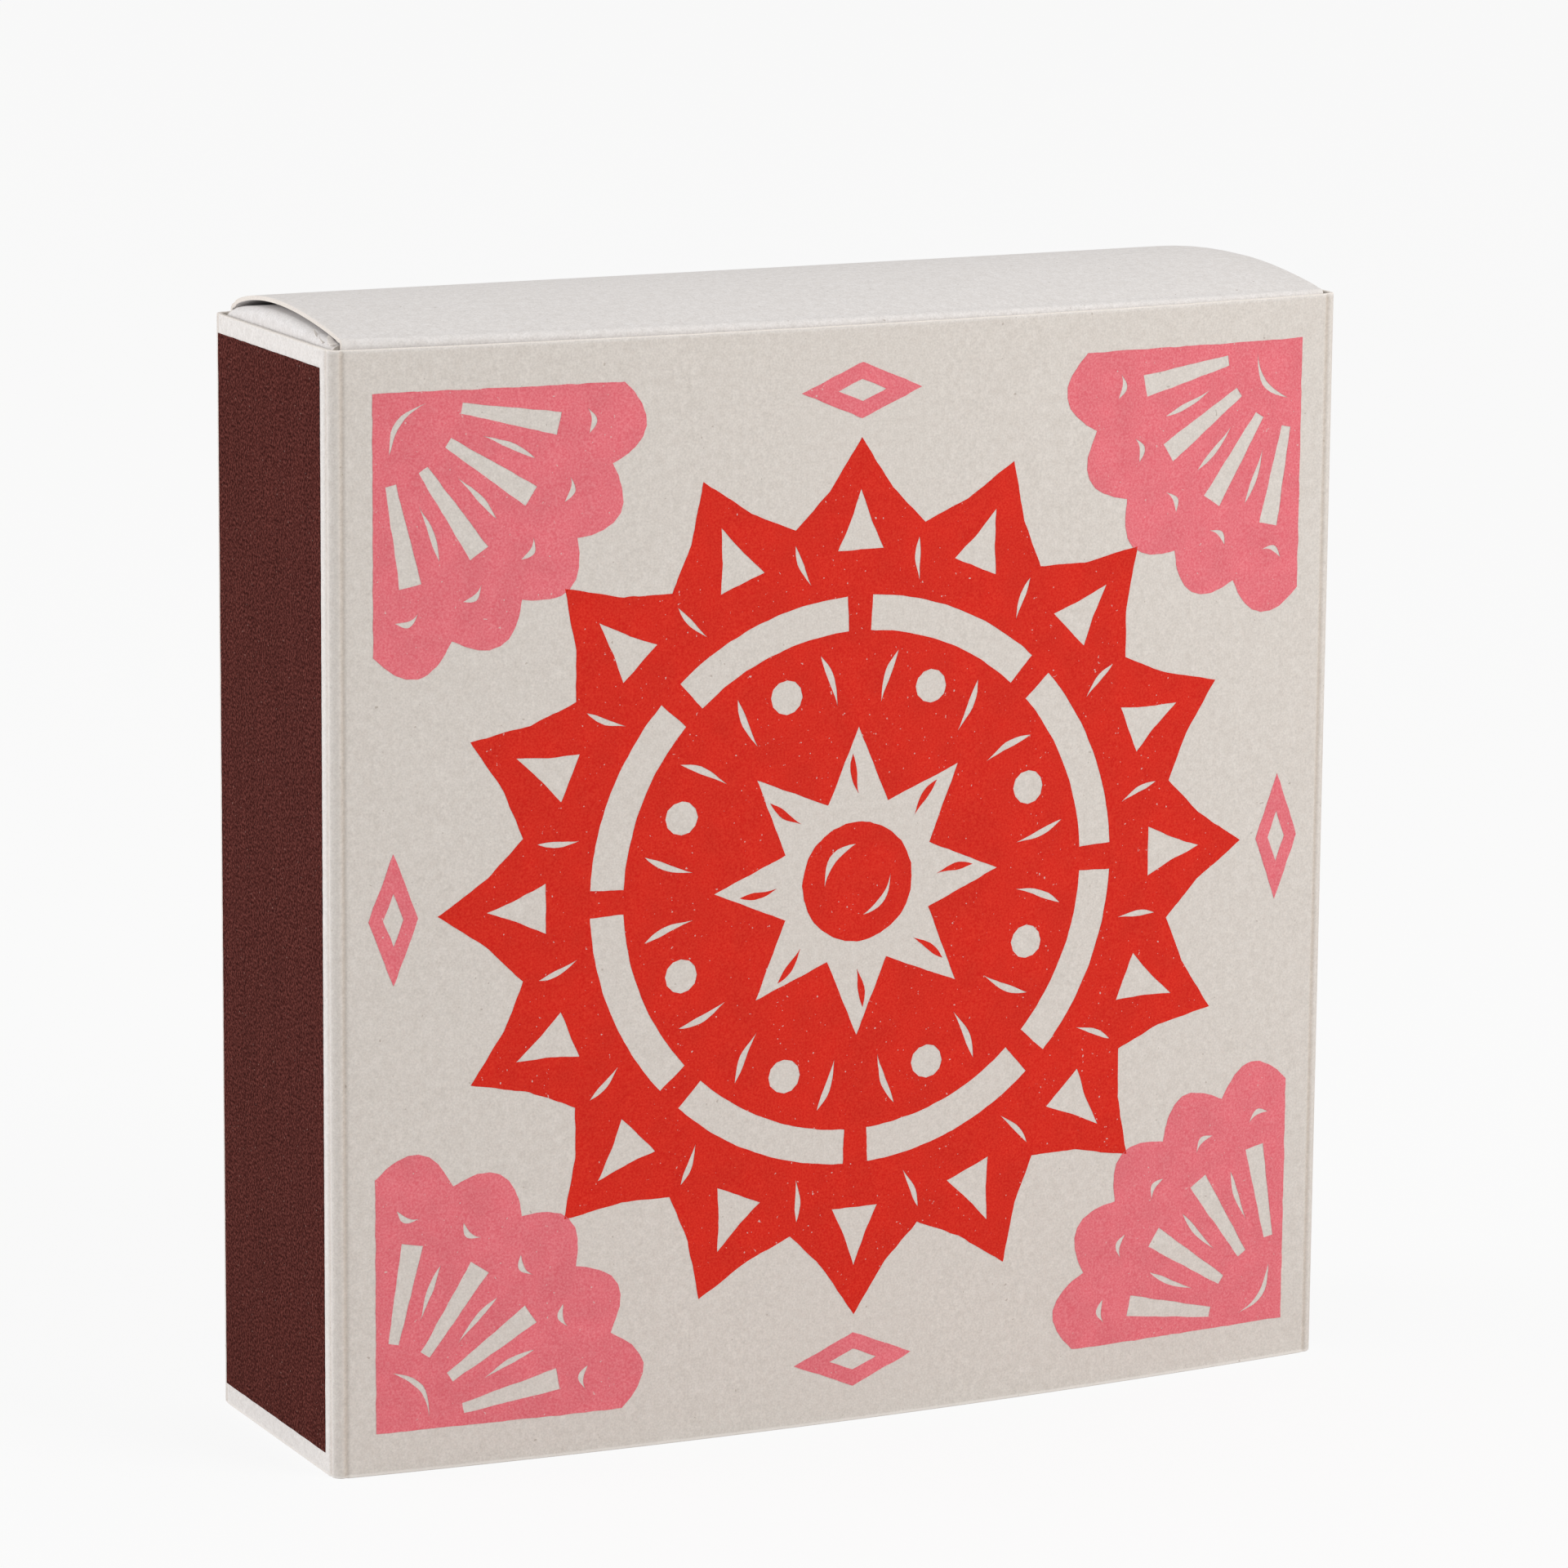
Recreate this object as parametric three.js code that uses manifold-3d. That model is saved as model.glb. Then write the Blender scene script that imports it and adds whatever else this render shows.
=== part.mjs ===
// A large square matchbox that stands on its lower end. X runs along the width, -Y is the printed
// face, +Z is up and the way the tray slides out. Lengths are in millimetres.
import * as THREE from 'three';
import { mergeVertices } from 'three/addons/utils/BufferGeometryUtils.js';
import Module from 'manifold-3d';

// Sleeve: one card wrapped into a tube and glued with a lap inside its right side.
const sleeveWidth = 109;
const sleeveDepth = 30;
const sleeveHeight = 110;
const sleeveCard = 0.45;
const sleeveFold = 1.3; // outer radius of the four long folds
const frontBow = 2.6; // how far the printed panel stands out at mid width
const backBow = 1.2;
const bowFacets = 16;
const foldFacets = 3;
const lapWidth = 22;
const lapSetBack = 1.5; // the lap stops short of both ends of the sleeve

// Striking strips on both narrow sides, with a bare margin round them.
const strikerCoat = 0.1;
const strikerTop = 1.85;
const strikerBottom = 2.15;
const strikerFront = 2.4;
const strikerBack = 1.5;

// Printed fields on the front panel: a sun disc, its centre, four corner fans and four lozenges.
const inkLift = 0.05; // clearance between the ink and the faceted card
const ink = 0.1;
const sunMargin = 10.5; // from the sun's tips to the nearer edges of the panel
const sunRays = 16;
const rayDepth = 8; // from a ray's tip to the notch beside it
const rayHoleMargin = 5; // from a ray's tip to the hole in it
const rayHoleLength = 6;
const rayHoleWidth = 5;
const ringSlots = 8;
const ringMargin = 4.5; // from the ray holes to the ring of slots
const ringWidth = 3.5;
const ringWeb = 2.4; // between two ring slots
const dotMargin = 4.5; // from the ring to the dots' centres
const dotRadius = 1.7;
const starPoints = 8;
const starTip = 15.5;
const starNotch = 8.5;
const buttonRadius = 6;
const fanMargin = 4.2; // from the panel's edges to a fan's corner
const fanGap = 0.5; // between a fan's rim and the sun's tips
const fanScallops = 5;
const fanScallopDepth = 2.6;
const fanSlots = 4;
const fanSlotInner = 9;
const fanSlotRim = 8; // from a slot's outer end to the fan's rim
const fanSlotWidth = 2.2;
const lozengeLength = 13;
const lozengeMargin = 3.6; // from the panel's edge
const lozengeGap = 1.9; // from the sun's tips

// Tray: one card folded into a drawer whose ends roll over at the rim and lock the corner flaps.
const slideClearance = 0.35;
const trayCard = 0.45;
const trayFold = 0.9;
const trayProud = 0.9; // rim of the upper end above the sleeve's edge
const trayLift = 0.4; // lower end above the sleeve's lower edge
const endBulge = 2.3; // the upper end's outer layer stands up by this between its folds
const bulgeSkew = 1.2; // above 1 moves the bulge's crest towards the floor
const bulgeFullness = 0.85; // below 1 makes the bulge blunter
const bulgeFacets = 12;
const rimBow = 2.3; // how far the ends' rims stand out at mid width, behind the bowed front panel
const endFacets = 8;
const flapGap = 0.25; // between the folded layers of an end
const flapLength = 26;
const flapInset = 0.3; // play round the edges of flaps and inner layers
const foldOverlap = 1; // length over which two folded runs are fused

// Matches: square splints with dipped heads, all heads up, one loose layer on a pressed bed.
const tipGap = 5.5; // from the longest match's tip to the tray's upper end
const lengthSpread = 0.9; // longest match less shortest match
const splint = 2.6;
const headWidth = 4.4;
const headLength = 6.5;
const splintInHead = 4; // how far a splint reaches into its head
const socketGap = 0.05;
const socketStart = 1; // how far below its head the cut for a splint begins
const matchesInRow = 21;
const bedLayers = 4;
const bedPress = 0.1; // overlap of the bed's pressed heads
const seatGap = 0.3;
const headSides = 8;
const bedHeadSides = 4;

const sleeveHalf = sleeveWidth / 2;
const sideCorner = sleeveHalf - sleeveFold;
const depthCorner = sleeveDepth / 2 - sleeveFold;
const innerHalfWidth = sleeveHalf - sleeveCard;
const innerHalfDepth = sleeveDepth / 2 - sleeveCard;
const trayLeft = -innerHalfWidth + slideClearance;
const trayRight = innerHalfWidth - sleeveCard - slideClearance;
const trayFront = -innerHalfDepth + slideClearance;
const trayBack = innerHalfDepth - slideClearance;
const trayWidth = trayRight - trayLeft;
const trayMiddle = (trayRight + trayLeft) / 2;
const layerPitch = trayCard + flapGap;

// The print is centred on the front panel.
const sunHeight = sleeveHeight / 2;
const sunTip = Math.min(sleeveHalf, sunHeight) - sunMargin;
const fanRadius = Math.hypot(sleeveHalf - fanMargin, sunHeight - fanMargin) - sunTip - fanGap;

// Centre heights of the folded layers, from the outside of each end inwards.
const upperOuter = sleeveHeight + trayProud - trayCard / 2;
const upperFlap = upperOuter - layerPitch;
const upperInner = upperFlap - layerPitch;
const lowerOuter = trayLift + trayCard / 2;
const lowerFlap = lowerOuter + layerPitch;
const lowerInner = lowerFlap + layerPitch;

// The matches fill the tray's width, stand on its lower end and lie on its floor.
const matchPitch = (trayWidth - 2 * (trayCard + seatGap)) / matchesInRow;
const tailSeat = lowerInner + trayCard / 2 + seatGap;
const matchLength = upperInner - trayCard / 2 - tipGap - tailSeat;
const floorFace = trayBack - trayCard;
const bedPitch = headWidth - bedPress;
const bedFront = floorFace - seatGap - headWidth - (bedLayers - 1) * bedPitch;
const looseCentre = bedFront - seatGap - headWidth / 2;

const manifold = await Module();
manifold.setup();

// Turns a closed geometry into a solid for joining and cutting.
function solid(geometry) {
  const bare = geometry.clone();
  bare.deleteAttribute('normal');
  bare.deleteAttribute('uv');
  const welded = mergeVertices(bare, 1e-4);
  return new manifold.Manifold(
    new manifold.Mesh({
      numProp: 3,
      vertProperties: new Float32Array(welded.attributes.position.array),
      triVerts: new Uint32Array(welded.index.array),
    }),
  );
}

function geometryOf(body) {
  const mesh = body.getMesh();
  const geometry = new THREE.BufferGeometry();
  geometry.setAttribute('position', new THREE.BufferAttribute(mesh.vertProperties, 3));
  geometry.setIndex(new THREE.BufferAttribute(mesh.triVerts, 1));
  geometry.computeVertexNormals();
  return geometry;
}

function joined(bodies) {
  return bodies.reduce((whole, body) => whole.add(body));
}

// A section from lists of corners, its outline wound one way and its holes the other.
function sectionOf(points, holes = []) {
  const wound = (list, clockwise) =>
    THREE.ShapeUtils.isClockWise(list) === clockwise ? list : [...list].reverse();
  const shape = new THREE.Shape(wound(points, false));
  shape.holes = holes.map((hole) => new THREE.Path(wound(hole, true)));
  return shape;
}

function prism(shape, depth, steps = 1) {
  return new THREE.ExtrudeGeometry(shape, { depth, steps, bevelEnabled: false, curveSegments: foldFacets * 2 });
}

// A block between two corners.
function block(low, high) {
  const size = high.map((value, axis) => value - low[axis]);
  const middle = high.map((value, axis) => (value + low[axis]) / 2);
  return new THREE.BoxGeometry(...size).translate(...middle);
}

// Outline of a card strip of even thickness along a centre line.
function ribbon(line, thickness) {
  const left = [];
  const right = [];
  const normalAfter = (index) => {
    const from = line[Math.min(Math.max(index, 0), line.length - 2)];
    const to = line[Math.min(Math.max(index, 0), line.length - 2) + 1];
    return new THREE.Vector2(from.y - to.y, to.x - from.x).normalize();
  };
  line.forEach((point, index) => {
    const normal = normalAfter(index - 1);
    const mitre = normal.clone().add(normalAfter(index)).normalize();
    const reach = thickness / 2 / mitre.dot(normal);
    left.push(point.clone().addScaledVector(mitre, reach));
    right.unshift(point.clone().addScaledVector(mitre, -reach));
  });
  return sectionOf([...right, ...left]);
}

// Points of an arc, both ends included.
function arc(centreX, centreY, radius, from, to, facets) {
  const points = [];
  for (let step = 0; step <= facets; step += 1) {
    const angle = from + ((to - from) * step) / facets;
    points.push(new THREE.Vector2(centreX + radius * Math.cos(angle), centreY + radius * Math.sin(angle)));
  }
  return points;
}

// One bowed panel of the tube seen from above, from its left fold to its right one.
function panelLine(side, bow, inset) {
  const points = [];
  for (let step = 0; step <= bowFacets; step += 1) {
    const x = -sideCorner + (2 * sideCorner * step) / bowFacets;
    const stand = bow * (1 - (x / sideCorner) ** 2);
    points.push(new THREE.Vector2(x, side * (sleeveDepth / 2 - inset + stand)));
  }
  return points;
}

// The tube's outline at a distance inside its outer face.
function tubeOutline(inset) {
  const radius = sleeveFold - inset;
  const corner = (sideX, sideY, from) =>
    arc(sideX * sideCorner, sideY * depthCorner, radius, from, from + Math.PI / 2, foldFacets);
  return [
    ...panelLine(-1, frontBow, inset).slice(1, -1),
    ...corner(1, -1, -Math.PI / 2),
    ...corner(1, 1, 0),
    ...panelLine(1, backBow, inset).reverse().slice(1, -1),
    ...corner(-1, 1, Math.PI / 2),
    ...corner(-1, -1, Math.PI),
  ];
}

function sleeveGeometry() {
  const tube = solid(prism(sectionOf(tubeOutline(0), [tubeOutline(sleeveCard)]), sleeveHeight));
  const lapBack = innerHalfDepth - (sleeveFold - sleeveCard);
  const lap = solid(
    block(
      [innerHalfWidth - sleeveCard, lapBack - lapWidth, lapSetBack],
      [innerHalfWidth + sleeveCard / 2, lapBack, sleeveHeight - lapSetBack],
    ),
  );
  return geometryOf(tube.add(lap));
}

function strikerGeometry(side) {
  const face = side * sleeveHalf;
  const outside = face + side * strikerCoat;
  return block(
    [Math.min(face, outside), -sleeveDepth / 2 + strikerFront, strikerBottom],
    [Math.max(face, outside), sleeveDepth / 2 - strikerBack, sleeveHeight - strikerTop],
  );
}

// A flat shape drawn in X and Z, laid on the bowed front panel as a film of ink.
function printed(shape) {
  const near = panelLine(-1, frontBow, -inkLift);
  const far = panelLine(-1, frontBow, -inkLift - ink).reverse();
  const film = solid(prism(sectionOf([...near, ...far]), sleeveHeight));
  const through = prism(shape, sleeveDepth).rotateX(Math.PI / 2);
  return geometryOf(film.intersect(solid(through)));
}

// Corners of a star or of a toothed disc, alternately on two circles.
function starPointsOf(count, outer, inner, centreX, centreZ, turn) {
  const points = [];
  for (let index = 0; index < 2 * count; index += 1) {
    const radius = index % 2 ? inner : outer;
    const angle = turn + (Math.PI * index) / count;
    points.push(new THREE.Vector2(centreX + radius * Math.cos(angle), centreZ + radius * Math.sin(angle)));
  }
  return points;
}

// A slot bent round a centre, between two radii and two angles.
function bentSlot(centreX, centreZ, inner, outer, from, to) {
  return [
    ...arc(centreX, centreZ, outer, from, to, foldFacets),
    ...arc(centreX, centreZ, inner, to, from, foldFacets),
  ];
}

function sunShape() {
  const rayHoleTip = sunTip - rayHoleMargin;
  const rayHoleBase = rayHoleTip - rayHoleLength;
  const ringOuter = rayHoleBase - ringMargin;
  const ringInner = ringOuter - ringWidth;
  const dotCircle = ringInner - dotMargin;
  const holes = [starPointsOf(starPoints, starTip, starNotch, 0, sunHeight, 0)];
  for (let ray = 0; ray < sunRays; ray += 1) {
    const angle = Math.PI / 2 + (2 * Math.PI * ray) / sunRays;
    const along = new THREE.Vector2(Math.cos(angle), Math.sin(angle));
    const across = new THREE.Vector2(-along.y, along.x);
    const at = (reach, aside) =>
      new THREE.Vector2(0, sunHeight).addScaledVector(along, reach).addScaledVector(across, aside);
    const half = rayHoleWidth / 2;
    holes.push([at(rayHoleBase, half), at(rayHoleBase, -half), at(rayHoleTip, 0)]);
  }
  for (let slot = 0; slot < ringSlots; slot += 1) {
    const step = (2 * Math.PI) / ringSlots;
    const web = ringWeb / ringInner / 2;
    holes.push(bentSlot(0, sunHeight, ringInner, ringOuter, slot * step + web, (slot + 1) * step - web));
    const angle = (slot + 0.5) * step;
    const dotX = dotCircle * Math.cos(angle);
    const dotZ = sunHeight + dotCircle * Math.sin(angle);
    holes.push(arc(dotX, dotZ, dotRadius, 0, 2 * Math.PI, 2 * foldFacets).slice(1));
  }
  const outline = starPointsOf(sunRays, sunTip, sunTip - rayDepth, 0, sunHeight, Math.PI / 2);
  return sectionOf(outline, holes);
}

// A quarter fan in a corner of the panel: sideX and sideZ say which corner.
function fanShape(sideX, sideZ) {
  const cornerX = sideX * (sleeveHalf - fanMargin);
  const cornerZ = sideZ > 0 ? sleeveHeight - fanMargin : fanMargin;
  const towards = (radius, angle) =>
    new THREE.Vector2(cornerX - sideX * radius * Math.cos(angle), cornerZ - sideZ * radius * Math.sin(angle));
  const rim = [new THREE.Vector2(cornerX, cornerZ)];
  const rimSteps = fanScallops * foldFacets;
  for (let step = 0; step <= rimSteps; step += 1) {
    const angle = (Math.PI / 2) * (step / rimSteps);
    const dip = 1 - Math.abs(Math.sin(fanScallops * 2 * angle));
    rim.push(towards(fanRadius - fanScallopDepth * dip, angle));
  }
  const holes = [];
  for (let slot = 0; slot < fanSlots; slot += 1) {
    const angle = ((slot + 0.5) * Math.PI) / 2 / fanSlots;
    const fanSlotOuter = fanRadius - fanSlotRim;
    const innerHalf = fanSlotWidth / fanSlotInner / 4;
    const outerHalf = fanSlotWidth / fanSlotOuter / 2;
    holes.push([
      towards(fanSlotInner, angle - innerHalf),
      towards(fanSlotOuter, angle - outerHalf),
      towards(fanSlotOuter, angle + outerHalf),
      towards(fanSlotInner, angle + innerHalf),
    ]);
  }
  return sectionOf(rim, holes);
}

// A lozenge between the sun's tip and the panel's edge: sideX and sideZ say which edge.
function lozengeShape(sideX, sideZ) {
  const edge = sideX ? sleeveHalf : sleeveHeight / 2;
  const halfWidth = (edge - sunTip - lozengeMargin - lozengeGap) / 2;
  const reach = edge - lozengeMargin - halfWidth;
  const centreX = sideX * reach;
  const centreZ = sunHeight + sideZ * reach;
  const halfX = sideX ? halfWidth : lozengeLength / 2;
  const halfZ = sideX ? lozengeLength / 2 : halfWidth;
  return sectionOf([
    new THREE.Vector2(centreX - halfX, centreZ),
    new THREE.Vector2(centreX, centreZ - halfZ),
    new THREE.Vector2(centreX + halfX, centreZ),
    new THREE.Vector2(centreX, centreZ + halfZ),
  ]);
}

// The drawer's floor and side walls between the folds of its two ends.
function trayChannel() {
  const inside = trayFold - trayCard;
  const section = new THREE.Shape();
  section.moveTo(trayLeft, trayFront);
  section.lineTo(trayLeft + trayCard, trayFront);
  section.lineTo(trayLeft + trayCard, trayBack - trayFold);
  section.absarc(trayLeft + trayFold, trayBack - trayFold, inside, Math.PI, Math.PI / 2, true);
  section.lineTo(trayRight - trayFold, trayBack - trayCard);
  section.absarc(trayRight - trayFold, trayBack - trayFold, inside, Math.PI / 2, 0, true);
  section.lineTo(trayRight - trayCard, trayFront);
  section.lineTo(trayRight, trayFront);
  section.lineTo(trayRight, trayBack - trayFold);
  section.absarc(trayRight - trayFold, trayBack - trayFold, trayFold, 0, Math.PI / 2, false);
  section.lineTo(trayLeft + trayFold, trayBack);
  section.absarc(trayLeft + trayFold, trayBack - trayFold, trayFold, Math.PI / 2, Math.PI, false);
  section.closePath();
  const low = lowerFlap - trayCard / 2 + trayFold;
  const high = upperFlap + trayCard / 2 - trayFold;
  return solid(prism(section, high - low).translate(0, 0, low));
}

// A corner flap, folded in from a side wall under the end's outer layer. side is -1 on the left and
// 1 on the right; up is 1 at the upper end and -1 at the lower one.
function cornerFlap(side, up) {
  const wall = side < 0 ? trayLeft + trayCard / 2 : trayRight - trayCard / 2;
  const level = up > 0 ? upperFlap : lowerFlap;
  const bend = trayFold - trayCard / 2;
  const centre = [wall - side * bend, level - up * bend];
  const turn = arc(0, 0, bend, 0, Math.PI / 2, foldFacets).map(
    (point) => new THREE.Vector2(centre[0] + side * point.x, centre[1] + up * point.y),
  );
  const line = [
    new THREE.Vector2(wall, level - up * (bend + foldOverlap)),
    ...turn,
    new THREE.Vector2(wall - side * flapLength, level),
  ];
  const front = trayFront + trayCard + flapInset;
  const back = trayBack - trayCard - flapInset;
  return solid(prism(ribbon(line, trayCard), back - front).rotateX(Math.PI / 2).translate(0, back, 0));
}

// Height of the end's outer layer above its rim, from the rim fold (0) to the floor fold (1).
function bulgeAt(share, height) {
  return height * Math.sin(Math.PI * share ** bulgeSkew) ** bulgeFullness;
}

// Lets an end's rim follow the bowed front panel, and fades this out towards the floor.
function followFront(geometry) {
  const spot = geometry.attributes.position;
  for (let index = 0; index < spot.count; index += 1) {
    const across = (spot.getX(index) - trayMiddle) / (trayWidth / 2);
    const forward = Math.min(Math.max((trayBack - trayCard - spot.getY(index)) / (trayBack - trayFront), 0), 1);
    spot.setY(index, spot.getY(index) - rimBow * (1 - across ** 2) * forward);
  }
  return geometry;
}

// An end wall: up from the floor, over the flaps to the rim, round it and back down inside.
function endWall(up) {
  const outer = up > 0 ? upperOuter : lowerOuter;
  const inner = up > 0 ? upperInner : lowerInner;
  const height = up > 0 ? endBulge : 0;
  const bend = trayFold - trayCard / 2;
  const floorLine = trayBack - trayCard / 2;
  const rimCentre = trayFront + trayCard / 2 + layerPitch;
  const archEnd = floorLine - bend;
  const facets = height > 0 ? bulgeFacets : 1;
  const over = [];
  for (let step = 0; step <= facets; step += 1) {
    const share = 1 - step / facets;
    const y = rimCentre + (archEnd - rimCentre) * share;
    over.push(new THREE.Vector2(y, outer + up * bulgeAt(share, height)));
  }
  const fold = arc(0, 0, bend, 0, Math.PI / 2, foldFacets).map(
    (point) => new THREE.Vector2(archEnd + point.x, outer + up * (point.y - bend)),
  );
  const outside = [
    new THREE.Vector2(floorLine, outer - up * (bend + layerPitch + foldOverlap + trayFold)),
    ...fold.slice(0, -1),
    ...over,
  ];
  const roll = arc(rimCentre, 0, layerPitch, Math.PI / 2, (3 * Math.PI) / 2, 2 * foldFacets).map(
    (point) => new THREE.Vector2(point.x, (outer + inner) / 2 + up * point.y),
  );
  const inside = [...roll.slice(1), new THREE.Vector2(trayBack - trayCard - flapInset, inner)];
  const strip = (line, left, right) => {
    const laid = prism(ribbon(line, trayCard), right - left, endFacets).rotateX(Math.PI / 2).rotateZ(Math.PI / 2);
    return solid(followFront(laid.translate(left, 0, 0)));
  };
  const wallPlay = trayCard + flapInset;
  return strip([...outside, ...inside], trayLeft + wallPlay, trayRight - wallPlay);
}

function trayGeometry() {
  const flaps = [-1, 1].flatMap((up) => [-1, 1].map((side) => cornerFlap(side, up)));
  return geometryOf(joined([trayChannel(), ...flaps, endWall(1), endWall(-1)]));
}

// Half sections of a dipped head from its base to its tip, as shares of its half width and length.
const looseBulb = [
  [0, 0],
  [0.78, 0],
  [0.97, 0.2],
  [1, 0.55],
  [0.84, 0.82],
  [0.45, 0.97],
  [0, 1],
];
const pressedBulb = [
  [0, 0],
  [1, 0.25],
  [1, 0.65],
  [0, 1],
];

function headProfile(bulb, halfWidth) {
  return bulb.map(([across, along]) => new THREE.Vector2(across * halfWidth, along * headLength));
}

function looseHead(length) {
  const base = length - headLength;
  const bulb = new THREE.LatheGeometry(headProfile(looseBulb, headWidth / 2), headSides)
    .rotateX(Math.PI / 2)
    .translate(0, 0, base);
  const half = splint / 2 + socketGap;
  const socket = block([-half, -half, base - socketStart], [half, half, base + splintInHead + socketGap]);
  return geometryOf(solid(bulb).subtract(solid(socket)));
}

function looseSplint(length) {
  const half = splint / 2;
  return block([-half, -half, 0], [half, half, length - headLength + splintInHead]);
}

function matchX(index) {
  return trayMiddle + (index - (matchesInRow - 1) / 2) * matchPitch;
}

// Lengths differ a little from match to match, in a fixed pattern.
function lengthOf(index) {
  return matchLength - lengthSpread * (0.5 + 0.5 * Math.sin(index * 2.4));
}

// The lower layers, whose heads are pressed against each other.
function bedGeometry() {
  const flatOver = 1 / Math.cos(Math.PI / bedHeadSides);
  const bodies = [];
  for (let layer = 0; layer < bedLayers; layer += 1) {
    const y = floorFace - seatGap - headWidth / 2 - layer * bedPitch;
    const staggered = (bedLayers - layer) % 2;
    for (let index = 0; index < matchesInRow - staggered; index += 1) {
      const x = matchX(index + staggered / 2);
      const length = lengthOf(index + layer * matchesInRow);
      const wide = (matchPitch + bedPress) / headWidth;
      const profile = headProfile(pressedBulb, (headWidth / 2) * flatOver);
      const head = new THREE.LatheGeometry(profile, bedHeadSides, Math.PI / bedHeadSides)
        .rotateX(Math.PI / 2)
        .scale(wide, 1, 1)
        .translate(x, y, tailSeat + length - headLength);
      const half = splint / 2;
      const stick = block(
        [x - half, y - half, tailSeat],
        [x + half, y + half, tailSeat + length - headLength + splintInHead],
      );
      bodies.push(solid(head).add(solid(stick)));
    }
  }
  return geometryOf(joined(bodies));
}

const card = new THREE.MeshStandardMaterial({ color: 0xd6d0ca, roughness: 0.75, metalness: 0 });
const trayCardFinish = new THREE.MeshStandardMaterial({ color: 0xdedad8, roughness: 0.8, metalness: 0 });
const striker = new THREE.MeshStandardMaterial({ color: 0x582d29, roughness: 0.95, metalness: 0 });
const redInk = new THREE.MeshStandardMaterial({ color: 0xd62514, roughness: 0.6, metalness: 0 });
const pinkInk = new THREE.MeshStandardMaterial({ color: 0xe4707f, roughness: 0.6, metalness: 0 });
const aspen = new THREE.MeshStandardMaterial({ color: 0xdcc49a, roughness: 0.8, metalness: 0 });
const dippedHead = new THREE.MeshStandardMaterial({ color: 0xb3201a, roughness: 0.7, metalness: 0 });

const matchbox = new THREE.Group();
// Centres the bowed box on the origin in depth.
matchbox.position.y = (frontBow + inkLift + ink - backBow) / 2;

function place(name, geometry, material, x = 0, y = 0, z = 0) {
  const mesh = new THREE.Mesh(geometry, material);
  mesh.name = name;
  mesh.position.set(x, y, z);
  matchbox.add(mesh);
}

place('sleeve', sleeveGeometry(), card);
place('striker_left', strikerGeometry(-1), striker);
place('striker_right', strikerGeometry(1), striker);
place('print_sun', printed(sunShape()), redInk);
place(
  'print_sun_centre',
  printed(sectionOf(arc(0, sunHeight, buttonRadius, 0, 2 * Math.PI, 4 * foldFacets).slice(1))),
  redInk,
);
for (const [name, sideX, sideZ] of [
  ['upper_left', -1, 1],
  ['upper_right', 1, 1],
  ['lower_left', -1, -1],
  ['lower_right', 1, -1],
]) {
  place(`print_fan_${name}`, printed(fanShape(sideX, sideZ)), pinkInk);
}
for (const [name, sideX, sideZ] of [
  ['top', 0, 1],
  ['bottom', 0, -1],
  ['left', -1, 0],
  ['right', 1, 0],
]) {
  place(`print_lozenge_${name}`, printed(lozengeShape(sideX, sideZ)), pinkInk);
}
place('tray', trayGeometry(), trayCardFinish);
place('match_bed', bedGeometry(), aspen);
for (let index = 0; index < matchesInRow; index += 1) {
  const number = String(index + 1).padStart(2, '0');
  const length = lengthOf(index);
  place(`match_splint_${number}`, looseSplint(length), aspen, matchX(index), looseCentre, tailSeat);
  place(`match_head_${number}`, looseHead(length), dippedHead, matchX(index), looseCentre, tailSeat);
}

export default matchbox;
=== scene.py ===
# A large square matchbox of card that stands on its lower end, its tray of long matches pushed in.
# X runs along the width, -Y is the printed face and +Z is up. Lengths are in metres.
import math

import bmesh
import bpy
from mathutils import Matrix, Vector, noise
from mathutils.geometry import tessellate_polygon


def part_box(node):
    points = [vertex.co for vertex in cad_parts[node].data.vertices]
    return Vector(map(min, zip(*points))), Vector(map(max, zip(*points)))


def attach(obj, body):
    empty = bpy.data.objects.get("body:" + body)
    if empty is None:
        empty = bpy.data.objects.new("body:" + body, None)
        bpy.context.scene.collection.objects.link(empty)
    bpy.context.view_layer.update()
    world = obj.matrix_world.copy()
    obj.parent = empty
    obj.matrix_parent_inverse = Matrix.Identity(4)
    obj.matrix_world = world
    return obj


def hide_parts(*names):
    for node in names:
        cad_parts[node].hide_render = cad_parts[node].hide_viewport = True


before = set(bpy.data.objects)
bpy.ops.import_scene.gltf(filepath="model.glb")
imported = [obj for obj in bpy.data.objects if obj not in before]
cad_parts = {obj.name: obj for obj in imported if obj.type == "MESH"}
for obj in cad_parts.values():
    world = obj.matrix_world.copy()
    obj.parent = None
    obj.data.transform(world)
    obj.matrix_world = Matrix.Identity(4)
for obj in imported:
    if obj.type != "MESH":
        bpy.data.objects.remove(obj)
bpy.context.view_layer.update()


# Camera, floor and light
# A long lens looks down a little on the box from its front left. The floor is white board, and the
# light is soft: a pale dome, a broad lamp out on the left and a smaller one in front on the right.
lens = 160.4  # millimetres
sensor = 36  # millimetres
aim = Vector((0.0009, 0.0017, 0.0612))
distance = 0.701
turn = math.radians(25.94)
tilt = math.radians(11.53)
roll = math.radians(0.46)

camera_data = bpy.data.cameras.new("camera")
camera_data.lens = lens
camera_data.sensor_width = sensor
camera_data.clip_start = 0.01
camera = bpy.data.objects.new("camera", camera_data)
bpy.context.collection.objects.link(camera)
turned = (
    Matrix.Rotation(-turn, 4, "Z")
    @ Matrix.Rotation(math.pi / 2 - tilt, 4, "X")
    @ Matrix.Rotation(roll, 4, "Z")
)
camera.matrix_world = Matrix.Translation(aim) @ turned @ Matrix.Translation((0, 0, distance))
bpy.context.scene.camera = camera
bpy.context.scene.view_settings.view_transform = "Standard"


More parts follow.
